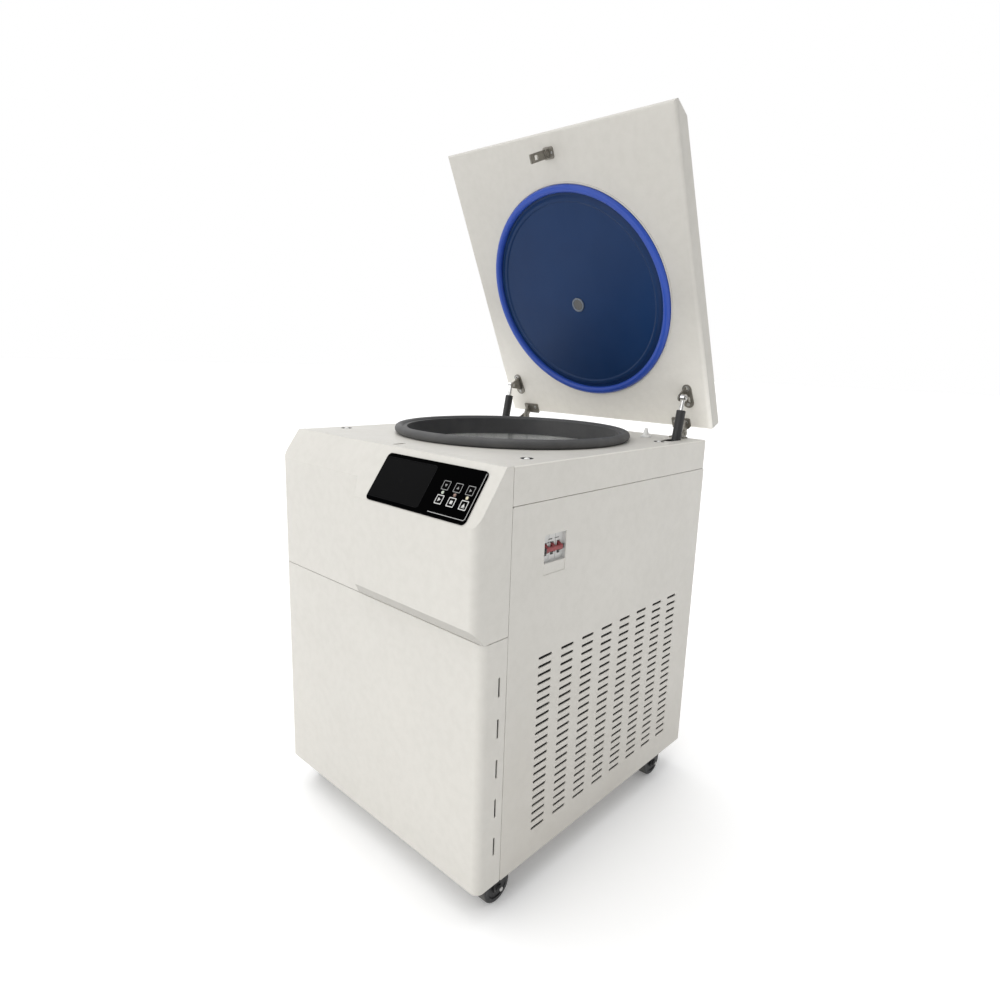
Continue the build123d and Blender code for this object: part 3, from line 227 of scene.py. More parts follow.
def plastic(name, colour, roughness, spread, specular=0.45, coat=0.0):
    """Moulded plastic: fine spark texture, small tone and gloss changes."""
    surface = Surface(name)
    patch = surface.noise(18.0, 5.0, 0.6)
    base = surface.ramp(patch, (0.3, tone(colour, 1.0 - spread)), (0.7, tone(colour, 1.0 + spread)))
    gloss = surface.remap(surface.noise(35.0, 4.0), 0.3, 0.7, roughness * 0.85, min(1.0, roughness * 1.2))
    normal = surface.bump(surface.noise(700.0, 2.0), 0.00003, 1.0, surface.rounded(0.0005))
    return surface.finish(
        Base_Color=base,
        Roughness=gloss,
        Normal=normal,
        Specular_IOR_Level=specular,
        Coat_Weight=coat,
        Coat_Roughness=0.06,
    )


def metal(name, colour, roughness, streaks, wear=0.08, grain=0.00003):
    """Brushed or drawn metal: the noise is finest along the axis with the biggest streaks number."""
    surface = Surface(name)
    streak = surface.noise(1.0, 4.0, 0.6, surface.stretched(streaks))
    patch = surface.noise(26.0, 5.0, 0.6)
    base = surface.ramp(patch, (0.3, tone(colour, 1.0 - wear)), (0.7, tone(colour, 1.0 + wear)))
    gloss = surface.remap(streak, 0.3, 0.7, roughness * 0.75, min(1.0, roughness * 1.35))
    normal = surface.bump(streak, grain, 1.0, surface.rounded(0.0004))
    return surface.finish(Base_Color=base, Metallic=1.0, Roughness=gloss, Normal=normal)


def cast_metal(name, colour):
    """Sand-cast and plated: small pits and a mottled tone."""
    surface = Surface(name)
    pits = surface.noise(260.0, 6.0, 0.65)
    base = surface.ramp(surface.noise(70.0, 5.0), (0.3, tone(colour, 0.8)), (0.7, tone(colour, 1.15)))
    gloss = surface.remap(pits, 0.3, 0.7, 0.38, 0.62)
    normal = surface.bump(pits, 0.00025, 1.0, surface.rounded(0.0006))
    return surface.finish(Base_Color=base, Metallic=0.85, Roughness=gloss, Normal=normal)


def rubber(name, colour):
    """Moulded rubber with a faint bloom and a fine skin."""
    surface = Surface(name)
    bloom = surface.ramp(
        surface.noise(11.0, 6.0, 0.65),
        (0.35, tone(colour, 0.8)),
        (0.62, tone(colour, 1.25)),
        (0.8, tone(colour, 1.9)),
    )
    gloss = surface.remap(surface.noise(40.0, 4.0), 0.3, 0.7, 0.54, 0.72)
    normal = surface.bump(surface.noise(900.0, 3.0), 0.00005)
    return surface.finish(Base_Color=bloom, Roughness=gloss, Normal=normal, Specular_IOR_Level=0.35)


def seal_rubber(name):
    """The rim seal, with skin marks that run round it."""
    surface = Surface(name)
    rings = surface.noise(330.0, 3.0, 0.5, surface.around_chamber())
    bloom = surface.ramp(
        surface.noise(9.0, 6.0, 0.65),
        (0.35, (0.070, 0.070, 0.071)),
        (0.6, (0.092, 0.092, 0.092)),
        (0.8, (0.120, 0.120, 0.119)),
    )
    skin = surface.bump(surface.noise(900.0, 3.0), 0.00005)
    return surface.finish(
        Base_Color=bloom,
        Roughness=surface.remap(surface.noise(30.0, 4.0), 0.3, 0.7, 0.5, 0.68),
        Normal=surface.bump(rings, 0.00012, 1.0, skin),
        Specular_IOR_Level=0.4,
    )


def spun_steel(name, colour):
    """Stainless steel spun round the chamber's axis, with dried runs down its wall."""
    surface = Surface(name)
    around = surface.around_chamber()
    rings = surface.noise(650.0, 4.0, 0.6, around)
    wide = surface.noise(40.0, 2.0, 0.5, around)
    runs = surface.noise(1.0, 3.0, 0.6, surface.stretched((24.0, 24.0, 1.5)))
    base = surface.ramp(runs, (0.36, tone(colour, 0.55)), (0.46, colour), (0.7, tone(colour, 1.1)))
    rough = surface.math("ADD", rings, surface.math("MULTIPLY", wide, 0.4))
    gloss = surface.remap(rough, 0.4, 1.0, 0.22, 0.42)
    normal = surface.bump(rings, 0.00002)
    return surface.finish(Base_Color=base, Metallic=0.5, Roughness=gloss, Normal=normal)


def liner_plastic(name, dark, light, roughness, coat):
    """Vacuum-formed liner plastic: uneven in tone, with wiped streaks in its gloss."""
    surface = Surface(name)
    broad = surface.noise(3.1, 4.0, 0.5)
    base = surface.ramp(broad, (0.3, dark), (0.72, light))
    wiped = surface.noise(1.0, 5.0, 0.6, surface.stretched((30.0, 9.0, 9.0)))
    gloss = surface.remap(wiped, 0.3, 0.7, roughness - 0.07, roughness + 0.09)
    normal = surface.bump(surface.noise(600.0, 3.0), 0.00003)
    return surface.finish(
        Base_Color=base,
        Roughness=gloss,
        Normal=normal,
        Coat_Weight=coat,
        Coat_Roughness=0.12,
        Specular_IOR_Level=0.2,
    )


def gloss_panel(name, colour, roughness, specular):
    """Polished acrylic: fingerprints show only in its gloss."""
    surface = Surface(name)
    smudge = surface.noise(42.0, 6.0, 0.7)
    base = surface.ramp(surface.noise(8.0), (0.3, tone(colour, 0.85)), (0.7, tone(colour, 1.15)))
    gloss = surface.remap(smudge, 0.35, 0.75, roughness, roughness + 0.12)
    normal = surface.bump(surface.noise(3.0, 1.0), 0.0002, 0.3, surface.rounded(0.0004))
    return surface.finish(Base_Color=base, Roughness=gloss, Normal=normal, Specular_IOR_Level=specular)


def clear_plastic(name, colour):
    """Thick acrylic plug that looks smoky grey against the lid's dark inside."""
    surface = Surface(name)
    base = surface.ramp(surface.noise(60.0, 4.0), (0.3, tone(colour, 0.92)), (0.7, tone(colour, 1.05)))
    gloss = surface.remap(surface.noise(90.0, 5.0), 0.3, 0.7, 0.05, 0.16)
    return surface.finish(Base_Color=base, Roughness=gloss, Transmission_Weight=0.2, IOR=1.49)


def strut_paint(name, pivot, direction, bright_until):
    """Black tube below a bright end fitting."""
    surface = Surface(name)
    down = surface.along(direction, pivot)
    fitting = surface.math("LESS_THAN", down, bright_until)
    dull, shiny = surface.noise(40.0, 4.0), surface.noise(90.0, 4.0)
    black = surface.ramp(dull, (0.3, (0.018, 0.018, 0.019)), (0.7, (0.028, 0.028, 0.029)))
    bright = surface.ramp(shiny, (0.3, (0.74, 0.74, 0.73)), (0.7, (0.86, 0.86, 0.85)))
    return surface.finish(
        Base_Color=surface.blend(fitting, black, bright),
        Metallic=fitting,
        Roughness=surface.remap(fitting, 0.0, 1.0, 0.5, 0.14),
        Normal=surface.bump(surface.noise(500.0, 3.0), 0.00003, 1.0, surface.rounded(0.0004)),
    )


def tyre_rubber(name, centre):
    """Caster wheel: a worn tread, a moulded groove and a smoother hub."""
    tread_radius = (0.0300, 0.0316)
    groove_radius = 0.0225
    groove_width = 0.0012
    surface = Surface(name)
    reach = surface.radius(centre, "x")
    tread = surface.remap(reach, *tread_radius, 0.0, 1.0)
    scuffs = surface.noise(120.0, 6.0, 0.7)
    bloom = surface.noise(50.0, 4.0)
    side = surface.ramp(bloom, (0.3, (0.018, 0.018, 0.019)), (0.7, (0.034, 0.034, 0.036)))
    worn = surface.ramp(scuffs, (0.35, (0.045, 0.044, 0.042)), (0.7, (0.12, 0.115, 0.105)))
    off_groove = surface.math("ABSOLUTE", surface.math("SUBTRACT", reach, groove_radius))
    groove = surface.remap(off_groove, 0.0, groove_width, 0.0, 1.0)
    height = surface.math("ADD", groove, surface.math("MULTIPLY", scuffs, 0.2))
    return surface.finish(
        Base_Color=surface.blend(tread, side, worn),
        Roughness=surface.remap(scuffs, 0.3, 0.7, 0.42, 0.62),
        Normal=surface.bump(height, 0.0006),
    )


def toggle_plastic(name, middle, half_bar, foot_drop):
    """Dark red levers joined by a bar, black beyond half_bar and lower than foot_drop."""
    surface = Surface(name)
    across = surface.math("ABSOLUTE", surface.math("SUBTRACT", surface.axes()[1], middle.y))
    ends = surface.math("GREATER_THAN", across, half_bar)
    feet = surface.math("LESS_THAN", surface.axes()[2], middle.z - foot_drop)
    red = surface.ramp(surface.noise(300.0, 4.0), (0.3, (0.20, 0.018, 0.022)), (0.7, (0.30, 0.035, 0.04)))
    return surface.finish(
        Base_Color=surface.blend(surface.math("MAXIMUM", ends, feet), red, (0.012, 0.012, 0.013, 1.0)),
        Roughness=surface.remap(surface.noise(200.0), 0.3, 0.7, 0.3, 0.45),
        Normal=surface.bump(surface.noise(900.0), 0.00003),
    )


def foam(name, colour):
    """Foam with open cells on its cut faces."""
    surface = Surface(name)
    inputs = {"Vector": surface.position, "Scale": 240.0}
    cells = surface.add("ShaderNodeTexVoronoi", inputs).outputs["Distance"]
    base = surface.ramp(surface.noise(7.0, 5.0), (0.3, tone(colour, 0.8)), (0.7, tone(colour, 1.1)))
    return surface.finish(Base_Color=base, Roughness=0.9, Normal=surface.bump(cells, 0.0008))


def fin_stock(name):
    """Pressed aluminium fins, with painted shade darkening the gaps between them."""
    surface = Surface(name)
    inputs = {"Vector": surface.position, "Scale": 160.0, "Distortion": 0.2}
    comb = surface.add("ShaderNodeTexWave", inputs, bands_direction="Z").outputs["Fac"]
    return surface.finish(
        # the dark end of the ramp is painted shade between the fins
        Base_Color=surface.ramp(comb, (0.2, (0.16, 0.16, 0.165)), (0.8, (0.48, 0.49, 0.49))),
        Metallic=0.9,
        Roughness=surface.remap(comb, 0.0, 1.0, 0.6, 0.3),
        Normal=surface.bump(comb, 0.0008),
    )


def print_ink(name, colour):
    """Screen-printed ink, slightly uneven."""
    surface = Surface(name)
    base = surface.ramp(surface.noise(500.0, 3.0), (0.3, tone(colour, 0.85)), (0.65, colour))
    gloss = surface.remap(surface.noise(200.0), 0.3, 0.7, 0.35, 0.55)
    return surface.finish(Base_Color=base, Roughness=gloss)


def lens(name, colour):
    """An unlit indicator lens with a fine grain."""
    surface = Surface(name)
    base = surface.ramp(surface.noise(700.0, 2.0), (0.3, tone(colour, 0.8)), (0.7, tone(colour, 1.1)))
    return surface.finish(Base_Color=base, Roughness=0.22, Coat_Weight=0.5, Transmission_Weight=0.1)


WHITE = (0.655, 0.637, 0.593)
# The lid's white is the panels' white made darker as painted shade, for the open lid that faces forward and down.
LID_WHITE_SHADED = (0.585, 0.568, 0.527)
STRUT_DOWN = Vector((0.0, -0.19659, -0.98049))
STRUT_FITTING = 0.0285  # length of the bright end of a strut's tube, from its pivot
TOGGLE_HALF_BAR = 0.0215
TOGGLE_FOOT_DROP = 0.0044

by_slot = {
    # the panels' paint is darker low down, partly dirt and partly painted shade
    "panel_paint": painted("panel_paint", WHITE, dust_and_shade=0.12),
    "lid_paint": painted("lid_paint", LID_WHITE_SHADED),
    "frame_steel": painted("frame_steel", (0.10, 0.105, 0.11), 0.5, dust_and_shade=0.5),
    "stainless": spun_steel("stainless", (0.80, 0.80, 0.78)),
    "seal_rubber": seal_rubber("seal_rubber"),
    "mount_rubber": rubber("mount_rubber", (0.026, 0.027, 0.030)),
    "liner_blue": liner_plastic("liner_blue", (0.020, 0.060, 0.34), (0.030, 0.085, 0.44), 0.34, 0.25),
    "liner_navy": liner_plastic("liner_navy", (0.0035, 0.022, 0.078), (0.0065, 0.033, 0.112), 0.40, 0.0),
    "viewport_glass": clear_plastic("viewport_glass", (0.105, 0.105, 0.104)),
    "hinge_steel": cast_metal("hinge_steel", (0.27, 0.255, 0.225)),
    "strut_chrome": metal("strut_chrome", (0.82, 0.82, 0.82), 0.1, (60.0, 60.0, 4.0), 0.03, 0.000005),
    "fascia_black": gloss_panel("fascia_black", (0.0004, 0.0004, 0.0005), 0.09, 0.004),
    "display_dark": gloss_panel("display_dark", (0.0058, 0.0058, 0.0060), 0.2, 0.008),
    "key_black": gloss_panel("key_black", (0.0006, 0.0006, 0.0007), 0.16, 0.008),
    "breaker_grey": plastic("breaker_grey", (0.68, 0.68, 0.665), 0.5, 0.05),
    "stop_white": plastic("stop_white", (0.84, 0.84, 0.82), 0.4, 0.03),
    "screw_steel": metal("screw_steel", (0.50, 0.50, 0.49), 0.3, (300.0, 300.0, 20.0)),
    "caster_black": plastic("caster_black", (0.022, 0.022, 0.023), 0.5, 0.2),
    "copper": metal("copper", (0.72, 0.34, 0.18), 0.32, (60.0, 60.0, 60.0), 0.15),
    "foam": foam("foam", (0.74, 0.66, 0.42)),
    "rotor_alloy": metal("rotor_alloy", (0.56, 0.575, 0.60), 0.34, (300.0, 300.0, 30.0), 0.05),
    "motor_grey": painted("motor_grey", (0.17, 0.185, 0.20), 0.45),
    "compressor_black": painted("compressor_black", (0.018, 0.018, 0.019), 0.35),
    "fin_aluminium": fin_stock("fin_aluminium"),
    "fan_plastic": plastic("fan_plastic", (0.035, 0.035, 0.036), 0.5, 0.15),
    "box_zinc": metal("box_zinc", (0.50, 0.51, 0.52), 0.42, (40.0, 40.0, 40.0), 0.18),
    "inlet_black": plastic("inlet_black", (0.02, 0.02, 0.021), 0.45, 0.15),
}

# The cabinet's panels: darker low down, partly dirt and partly painted shade, with painted highlights on their
# edges.
boxy_paint_lit_edges = painted("boxy_paint_lit_edges", WHITE, dust_and_shade=0.5, edge=0.0016, painted_edge_highlight=1.3)
by_node = {node: boxy_paint_lit_edges for node in ("top_cover", "left_panel", "right_panel", "rear_panel")}
# The lid's inner panel: painted light makes its lower part paler.
by_node["lid_inner_panel"] = painted("lid_inner_paint_lit_low", LID_WHITE_SHADED, painted_light_below=1.10)
# The console: painted shade darkens its bevel that faces down.
by_node["console_cover"] = painted("console_paint_shaded_under", WHITE, painted_underside_shade=0.72)


def node_centre(node):
    """The middle of a CAD piece's bounds."""
    low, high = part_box(node)
    return (low + high) / 2


def special_material(node, slot):
    """Materials whose pattern depends on where their own node lies."""
    if slot == "strut_black":
        pivot = Vector(joints[f"{node}_swing"]["pos_m"])
        return strut_paint(node, pivot, STRUT_DOWN, STRUT_FITTING)
    if slot == "caster_tyre":
        return tyre_rubber(node, node_centre(node))
    return toggle_plastic(node, node_centre(node), TOGGLE_HALF_BAR, TOGGLE_FOOT_DROP)


def paint_cad_pieces():
    """Gives every CAD piece its material."""
    for part in frame["record"]["subparts"]:
        node, slot = part["node"], part["material_slot"]
        materials = frame["nodes"][node].data.materials
        materials.clear()
        materials.append(by_node.get(node) or by_slot.get(slot) or special_material(node, slot))


# ---------------------------------------------------------------- mesh tools


def placed(origin, along_z, along_x=(1.0, 0.0, 0.0)):
    """A matrix whose z axis points along_z, with x as near along_x as it can be."""
    z_axis = Vector(along_z).normalized()
    y_axis = z_axis.cross(Vector(along_x)).normalized()
    x_axis = y_axis.cross(z_axis)
    turn = Matrix((x_axis, y_axis, z_axis)).transposed()
    return Matrix.Translation(origin) @ turn.to_4x4()


def lathe(mesh, profile, matrix, steps):
    """Turns a profile of (radius, height) points round the matrix's z axis."""
    rings = []
    for radius, height in profile:
        if radius == 0:
            rings.append([mesh.verts.new(matrix @ Vector((0, 0, height)))] * steps)
            continue
        angles = [2 * math.pi * step / steps for step in range(steps)]
        points = [Vector((radius * math.cos(a), radius * math.sin(a), height)) for a in angles]
        rings.append([mesh.verts.new(matrix @ point) for point in points])
    for lower, upper in zip(rings, rings[1:]):
        for step in range(steps):
            after = (step + 1) % steps
            corners = list(dict.fromkeys((lower[step], lower[after], upper[after], upper[step])))
            if len(corners) > 2:
                mesh.faces.new(corners)


def prism(mesh, outline, low, high, matrix, taper=0.0):
    """A closed outline raised from low to high, drawn in by taper at the top."""
    middle = sum((Vector((x, y)) for x, y in outline), Vector((0, 0))) / len(outline)
    bottom = []
    top = []
    for x, y in outline:
        drawn = middle + (Vector((x, y)) - middle) * (1 - taper)
        bottom.append(mesh.verts.new(matrix @ Vector((x, y, low))))
        top.append(mesh.verts.new(matrix @ Vector((drawn.x, drawn.y, high))))
    count = len(outline)
    mesh.faces.new(top)
    mesh.faces.new(bottom[::-1])
    for index in range(count):
        after = (index + 1) % count
        mesh.faces.new([bottom[index], bottom[after], top[after], top[index]])


def rounded_outline(width, height, radius, steps=5, centre=(0.0, 0.0)):
    """A rectangle with round corners, as points."""
    points = []
    for corner, (side_x, side_y) in enumerate(((1, 1), (-1, 1), (-1, -1), (1, -1))):
        hub_x = centre[0] + side_x * (width / 2 - radius)
        hub_y = centre[1] + side_y * (height / 2 - radius)
        for step in range(steps + 1):
            angle = math.pi / 2 * (corner + step / steps)
            points.append((hub_x + radius * math.cos(angle), hub_y + radius * math.sin(angle)))
    return points


def band(mesh, outer, inner, low, high, matrix):
    """A flat frame between two outlines of the same number of points."""
    levels = []
    for outline, height in ((outer, low), (outer, high), (inner, high), (inner, low)):
        levels.append([mesh.verts.new(matrix @ Vector((x, y, height))) for x, y in outline])
    count = len(outer)
    for first, second in zip(levels, levels[1:] + levels[:1]):
        for index in range(count):
            after = (index + 1) % count
            mesh.faces.new([first[index], first[after], second[after], second[index]])


def piece(name, mesh, body, material):
    """Turns a bmesh into an object that rides on a body."""
    bmesh.ops.recalc_face_normals(mesh, faces=mesh.faces)
    data = bpy.data.meshes.new(name)
    mesh.to_mesh(data)
    mesh.free()
    for polygon in data.polygons:
        polygon.use_smooth = True
    data.set_sharp_from_angle(angle=math.radians(32))
    data.materials.append(material)
    made = bpy.data.objects.new(name, data)
    bpy.context.scene.collection.objects.link(made)
    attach(made, body)


def pan_screw(mesh, origin, normal, radius, rise=None):
    """A pan-head screw with a hexagonal socket."""
    rise = rise or radius * 0.55
    matrix = placed(origin, normal)
    socket = radius * 0.45
    profile = [
        (0.0, rise * 0.35),
        (socket * 0.92, rise * 0.35),
        (socket, rise * 0.97),
        (socket * 1.12, rise),
        (radius * 0.7, rise * 0.98),
        (radius * 0.92, rise * 0.72),
        (radius, rise * 0.35),
        (radius, -rise * 0.1),
    ]
    lathe(mesh, profile, matrix, 24)


def washer(mesh, origin, normal, outer, inner, height):
    """A flat ring with broken edges."""
    lip = height * 0.3
    profile = [(inner, 0.0), (inner, height), (outer - lip, height), (outer, height - lip), (outer, 0.0)]
    lathe(mesh, profile, placed(origin, normal), 28)


# ---------------------------------------------------------------- console trim

SLOPE = math.radians(55)
DOWN_SLOPE = Vector((0, -math.cos(SLOPE), -math.sin(SLOPE)))
OFF_SLOPE = Vector((0, -math.sin(SLOPE), math.cos(SLOPE)))
FASCIA_LOW, FASCIA_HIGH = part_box("control_fascia")
FASCIA_THICKNESS = 0.002
FASCIA_TOP = Vector(
    ((FASCIA_LOW.x + FASCIA_HIGH.x) / 2, FASCIA_HIGH.y - FASCIA_THICKNESS * math.sin(SLOPE), FASCIA_HIGH.z)
)
FASCIA_WIDTH = FASCIA_HIGH.x - FASCIA_LOW.x
FASCIA_HEIGHT = (FASCIA_HIGH.z - FASCIA_LOW.z - FASCIA_THICKNESS * math.cos(SLOPE)) / math.sin(SLOPE)


def fascia_matrix(across, down):
    """A matrix on the fascia's face: across from its middle, down from its top edge."""
    return placed(FASCIA_TOP + Vector((across, 0, 0)) + DOWN_SLOPE * down, OFF_SLOPE)


BRIGHT_INK = print_ink("bright_print", (0.62, 0.62, 0.60))
DIM_INK = print_ink("dim_print", (0.27, 0.27, 0.265))
LINE_INK = print_ink("line_print", (0.42, 0.42, 0.41))
KEY_SIZE = 0.0185
KEY_EDGE = 0.0005  # radius of a key's rounded edge
KEY_MARGIN = 0.0022  # from the key's size to its printed frame's, both sides together
INK_LOW = 0.00002  # printed marks stand between these two heights off their face
INK_HIGH = 0.00015
ARROW = [(-0.0032, -0.0024), (0.0032, -0.0024), (0.0, 0.0030)]
BLOCK = [(-0.0026, -0.0026), (0.0026, -0.0026), (0.0026, 0.0026), (-0.0026, 0.0026)]
KEY_MARKS = {
    "up": (ARROW, 180),
    "down": (ARROW, 0),
    "next": (ARROW, -90),
    "start": (ARROW, -90),
    "stop": (BLOCK, 0),
    "lid": (ARROW, 0),
}
BRIGHT_KEYS = ("start", "stop", "lid")


def turned(outline, degrees, scale):
    """An outline turned and scaled about the origin."""
    angle = math.radians(degrees)
    return [
        (
            scale * (x * math.cos(angle) - y * math.sin(angle)),
            scale * (x * math.sin(angle) + y * math.cos(angle)),
        )
        for x, y in outline
    ]


def key_face(node):
    """Where the middle of a key's face is."""
    low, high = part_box(node)
    lost = KEY_EDGE * (math.sin(SLOPE) + math.cos(SLOPE) - 1)
    half_drop = KEY_SIZE / 2 * math.sin(SLOPE)
    half_run = KEY_SIZE / 2 * math.cos(SLOPE)
    return Vector(((low.x + high.x) / 2, low.y - lost + half_run, high.z + lost - half_drop))


def add_key_prints():
    """A frame and a simple mark on each key."""
    for key, (mark, degrees) in KEY_MARKS.items():
        mesh = bmesh.new()
        matrix = placed(key_face(f"key_{key}"), OFF_SLOPE)
        bright = key in BRIGHT_KEYS
        frame_width = 0.0015 if bright else 0.0011
        outer_size = KEY_SIZE - KEY_MARGIN
        inner_size = outer_size - 2 * frame_width
        outer = rounded_outline(outer_size, outer_size, 0.0016)
        inner = rounded_outline(inner_size, inner_size, 0.0008)
        band(mesh, outer, inner, INK_LOW, INK_HIGH, matrix)
        scale = 1.1 if bright else 0.9
        prism(mesh, turned(mark, degrees, scale), INK_LOW, INK_HIGH, matrix, 0.02)
        if key == "lid":
            bar = [(-0.0034, -0.0045), (0.0034, -0.0045), (0.0034, -0.0033), (-0.0034, -0.0033)]
            prism(mesh, bar, INK_LOW, INK_HIGH, matrix, 0.02)
        ink = BRIGHT_INK if bright else DIM_INK
        piece(f"key_print_{key}", mesh, f"key_{key}", ink)


def add_indicators():
    """Three lenses between the rows of keys, each in a thin collar."""
    tints = ((0.52, 0.58, 0.47), (0.26, 0.14, 0.10), (0.72, 0.66, 0.45))
    collar_material = plastic("indicator_collar", (0.012, 0.012, 0.013), 0.35, 0.2)
    collars = bmesh.new()
    between_rows = (key_face("key_up") + key_face("key_start")) / 2
    down = (between_rows - FASCIA_TOP).dot(DOWN_SLOPE)
    for number, (column, tint) in enumerate(zip(("up", "down", "next"), tints), start=1):
        across = key_face(f"key_{column}").x - FASCIA_TOP.x
        matrix = fascia_matrix(across, down)
        dome = bmesh.new()
        profile = [(0.0030, 0.0), (0.0030, 0.0004), (0.0026, 0.0009), (0.0017, 0.0012), (0.0, 0.0013)]
        lathe(dome, profile, matrix, 28)
        piece(f"indicator_{number}", dome, "cabinet", lens(f"indicator_{number}", tint))
        collar = [(0.0031, 0.0), (0.0031, 0.0006), (0.0036, 0.0006), (0.0039, 0.0)]
        lathe(collars, collar, matrix, 28)
    piece("indicator_collars", collars, "cabinet", collar_material)


def add_fascia_line():
    """A thin printed line along the lower right edges of the fascia."""
    mesh = bmesh.new()
    thick = 0.0011
    right = FASCIA_WIDTH / 2 - 0.0030
    bottom = -(FASCIA_HEIGHT - 0.0066)
    corner = 0.003
    start = 0.037
    top = -0.004
    cut = thick * 0.4
    outline = [(start, bottom), (right - corner, bottom), (right, bottom + corner), (right, top)]
    inner = [
        (right - thick, top),
        (right - thick, bottom + corner + cut),
        (right - corner - cut, bottom + thick),
        (start, bottom + thick),
    ]
    prism(mesh, outline + inner, INK_LOW, INK_HIGH, fascia_matrix(0, 0))
    piece("fascia_line", mesh, "cabinet", LINE_INK)


def add_display_frame():
    """A fine raised frame round the display."""
    mesh = bmesh.new()
    low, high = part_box("display_window")
    across = (low.x + high.x) / 2 - FASCIA_TOP.x
    matrix = fascia_matrix(across, FASCIA_HEIGHT / 2)
    width = high.x - low.x
    height = (high.z - low.z) / math.sin(SLOPE) - 0.0004
    outer = rounded_outline(width + 0.0018, height + 0.0018, 0.005)
    inner = rounded_outline(width + 0.0008, height + 0.0008, 0.0043)
    band(mesh, outer, inner, INK_LOW, 0.00018, matrix)
    frame_material = plastic("display_frame", (0.005, 0.005, 0.006), 0.4, 0.2, specular=0.1)
    piece("display_frame", mesh, "cabinet", frame_material)


# ---------------------------------------------------------------- fasteners and fittings


def add_rear_screws():
    """Screws round the rear panel, and an earth stud beside the inlet."""
    side_inset, end_inset = 0.014, 0.016
    low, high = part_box("rear_panel")
    mesh = bmesh.new()
    back = Vector((0, 1, 0))
    left, right = low.x + side_inset, high.x - side_inset
    ends = (low.z + end_inset, high.z - end_inset)
    between = (low.z + 0.22, low.z + 0.44)
    middle = (low.x + high.x) / 2
    for columns, rows in (((left, middle, right), ends), ((left, right), between)):
        for x in columns:
            for z in rows:
                pan_screw(mesh, Vector((x, high.y, z)), back, 0.0045)
    piece("rear_screws", mesh, "cabinet", by_slot["screw_steel"])
    stud = bmesh.new()
    inlet_low, inlet_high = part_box("power_inlet")
    matrix = placed(Vector((inlet_high.x + 0.035, high.y, inlet_low.z + 0.02)), back)
    bolt = [(0.0, 0.0085), (0.0022, 0.0085), (0.003, 0.0078), (0.003, 0.004)]
    nut = [(0.0055, 0.0038), (0.0055, 0.0012), (0.0075, 0.0011), (0.0075, 0.0)]
    lathe(stud, bolt + nut, matrix, 12)
    brass = metal("brass_stud", (0.66, 0.50, 0.24), 0.3, (80.0, 80.0, 80.0))
    piece("earth_stud", stud, "cabinet", brass)


def add_spindle_boot():
    """A rubber bellows round the spindle, on the bowl's hub."""
    mesh = bmesh.new()
    origin = Vector((CHAMBER_AXIS.x, CHAMBER_AXIS.y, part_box("chamber_bowl")[0].z + 0.022))
    profile = [(0.0325, 0.0), (0.0335, 0.004)]
    for fold in range(4):
        base = 0.004 + fold * 0.006
        shrink = fold * 0.0028
        for radius, height in ((0.0335, 0.001), (0.0290, 0.004), (0.0310, 0.006)):
            profile.append((radius - shrink, base + height))
    profile += [(0.0165, 0.032), (0.0140, 0.036), (0.0140, 0.034)]
    lathe(mesh, profile, placed(origin, (0, 0, 1)), 48)
    piece("spindle_boot", mesh, "cabinet", by_slot["mount_rubber"])


def add_bucket_pads():
    """A rubber pad in the bottom of each bucket."""
    bucket_floor = 0.0052
    middle = [(0.0, 0.003), (0.010, 0.003), (0.012, 0.0022), (0.014, 0.003)]
    border = [(0.034, 0.003), (0.036, 0.002), (0.036, 0.0)]
    for number in range(1, 5):
        bucket = f"bucket_{number}"
        x, y = joints[f"{bucket}_swing"]["pos_m"][:2]
        origin = Vector((x, y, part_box(bucket)[0].z + bucket_floor))
        mesh = bmesh.new()
        lathe(mesh, middle + border, placed(origin, (0, 0, 1)), 40)
        piece(f"bucket_pad_{number}", mesh, bucket, by_slot["mount_rubber"])


def add_caster_axles():
    """A domed end on each side of the casters' axles."""
    dome = [(0.0040, -0.0002), (0.0040, 0.0006), (0.0032, 0.0013), (0.0018, 0.0017), (0.0, 0.0018)]
    for joint_name, joint in joints.items():
        if not joint_name.startswith("caster_roll_"):
            continue
        where = joint_name.removeprefix("caster_roll_")
        fork = f"caster_fork_{where}"
        low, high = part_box(fork)
        y, z = joint["pos_m"][1:]
        mesh = bmesh.new()
        for side, x in ((-1, low.x), (1, high.x)):
            lathe(mesh, dome, placed(Vector((x, y, z)), (side, 0, 0), (0, 0, 1)), 20)
        piece(f"caster_axle_{where}", mesh, fork, by_slot["screw_steel"])


VENT_MID = (0.012, 0.291)  # y and z of the slot field's centre
VENT_FIELD = (0.486, 0.351)  # its length and height, with a margin
FILTER_X = 0.2966
FILTER_HALF = 0.0004  # half the filter's thickness


def add_vent_filters():
    """Dark filters against dirt behind the side panels' slots, near black as painted shade inside the cabinet."""
    # near-black foam, partly a filter and partly painted shade behind the slots
    shade_filter_material = foam("shade_filter_foam", (0.016, 0.016, 0.015))
    for side, panel in ((-1, "left"), (1, "right")):
        mesh = bmesh.new()
        matrix = placed(Vector((side * FILTER_X, *VENT_MID)), (side, 0, 0), (0, 1, 0))
        outline = rounded_outline(*VENT_FIELD, 0.006)
        prism(mesh, outline, -FILTER_HALF, FILTER_HALF, matrix, 0.002)
        piece(f"vent_filter_{panel}", mesh, "cabinet", shade_filter_material)


HINGE = Vector(joints["lid_hinge"]["pos_m"])
LID_OPEN = math.radians(66)
UP_LID = Vector((0, -math.cos(LID_OPEN), math.sin(LID_OPEN)))
OFF_LID = Vector((0, -math.sin(LID_OPEN), -math.cos(LID_OPEN)))
HINGE_BEHIND = 0.004  # from the lid's rear edge back to the hinge's axis
HINGE_BELOW = 0.0205  # from the lid's inner face to the hinge's axis


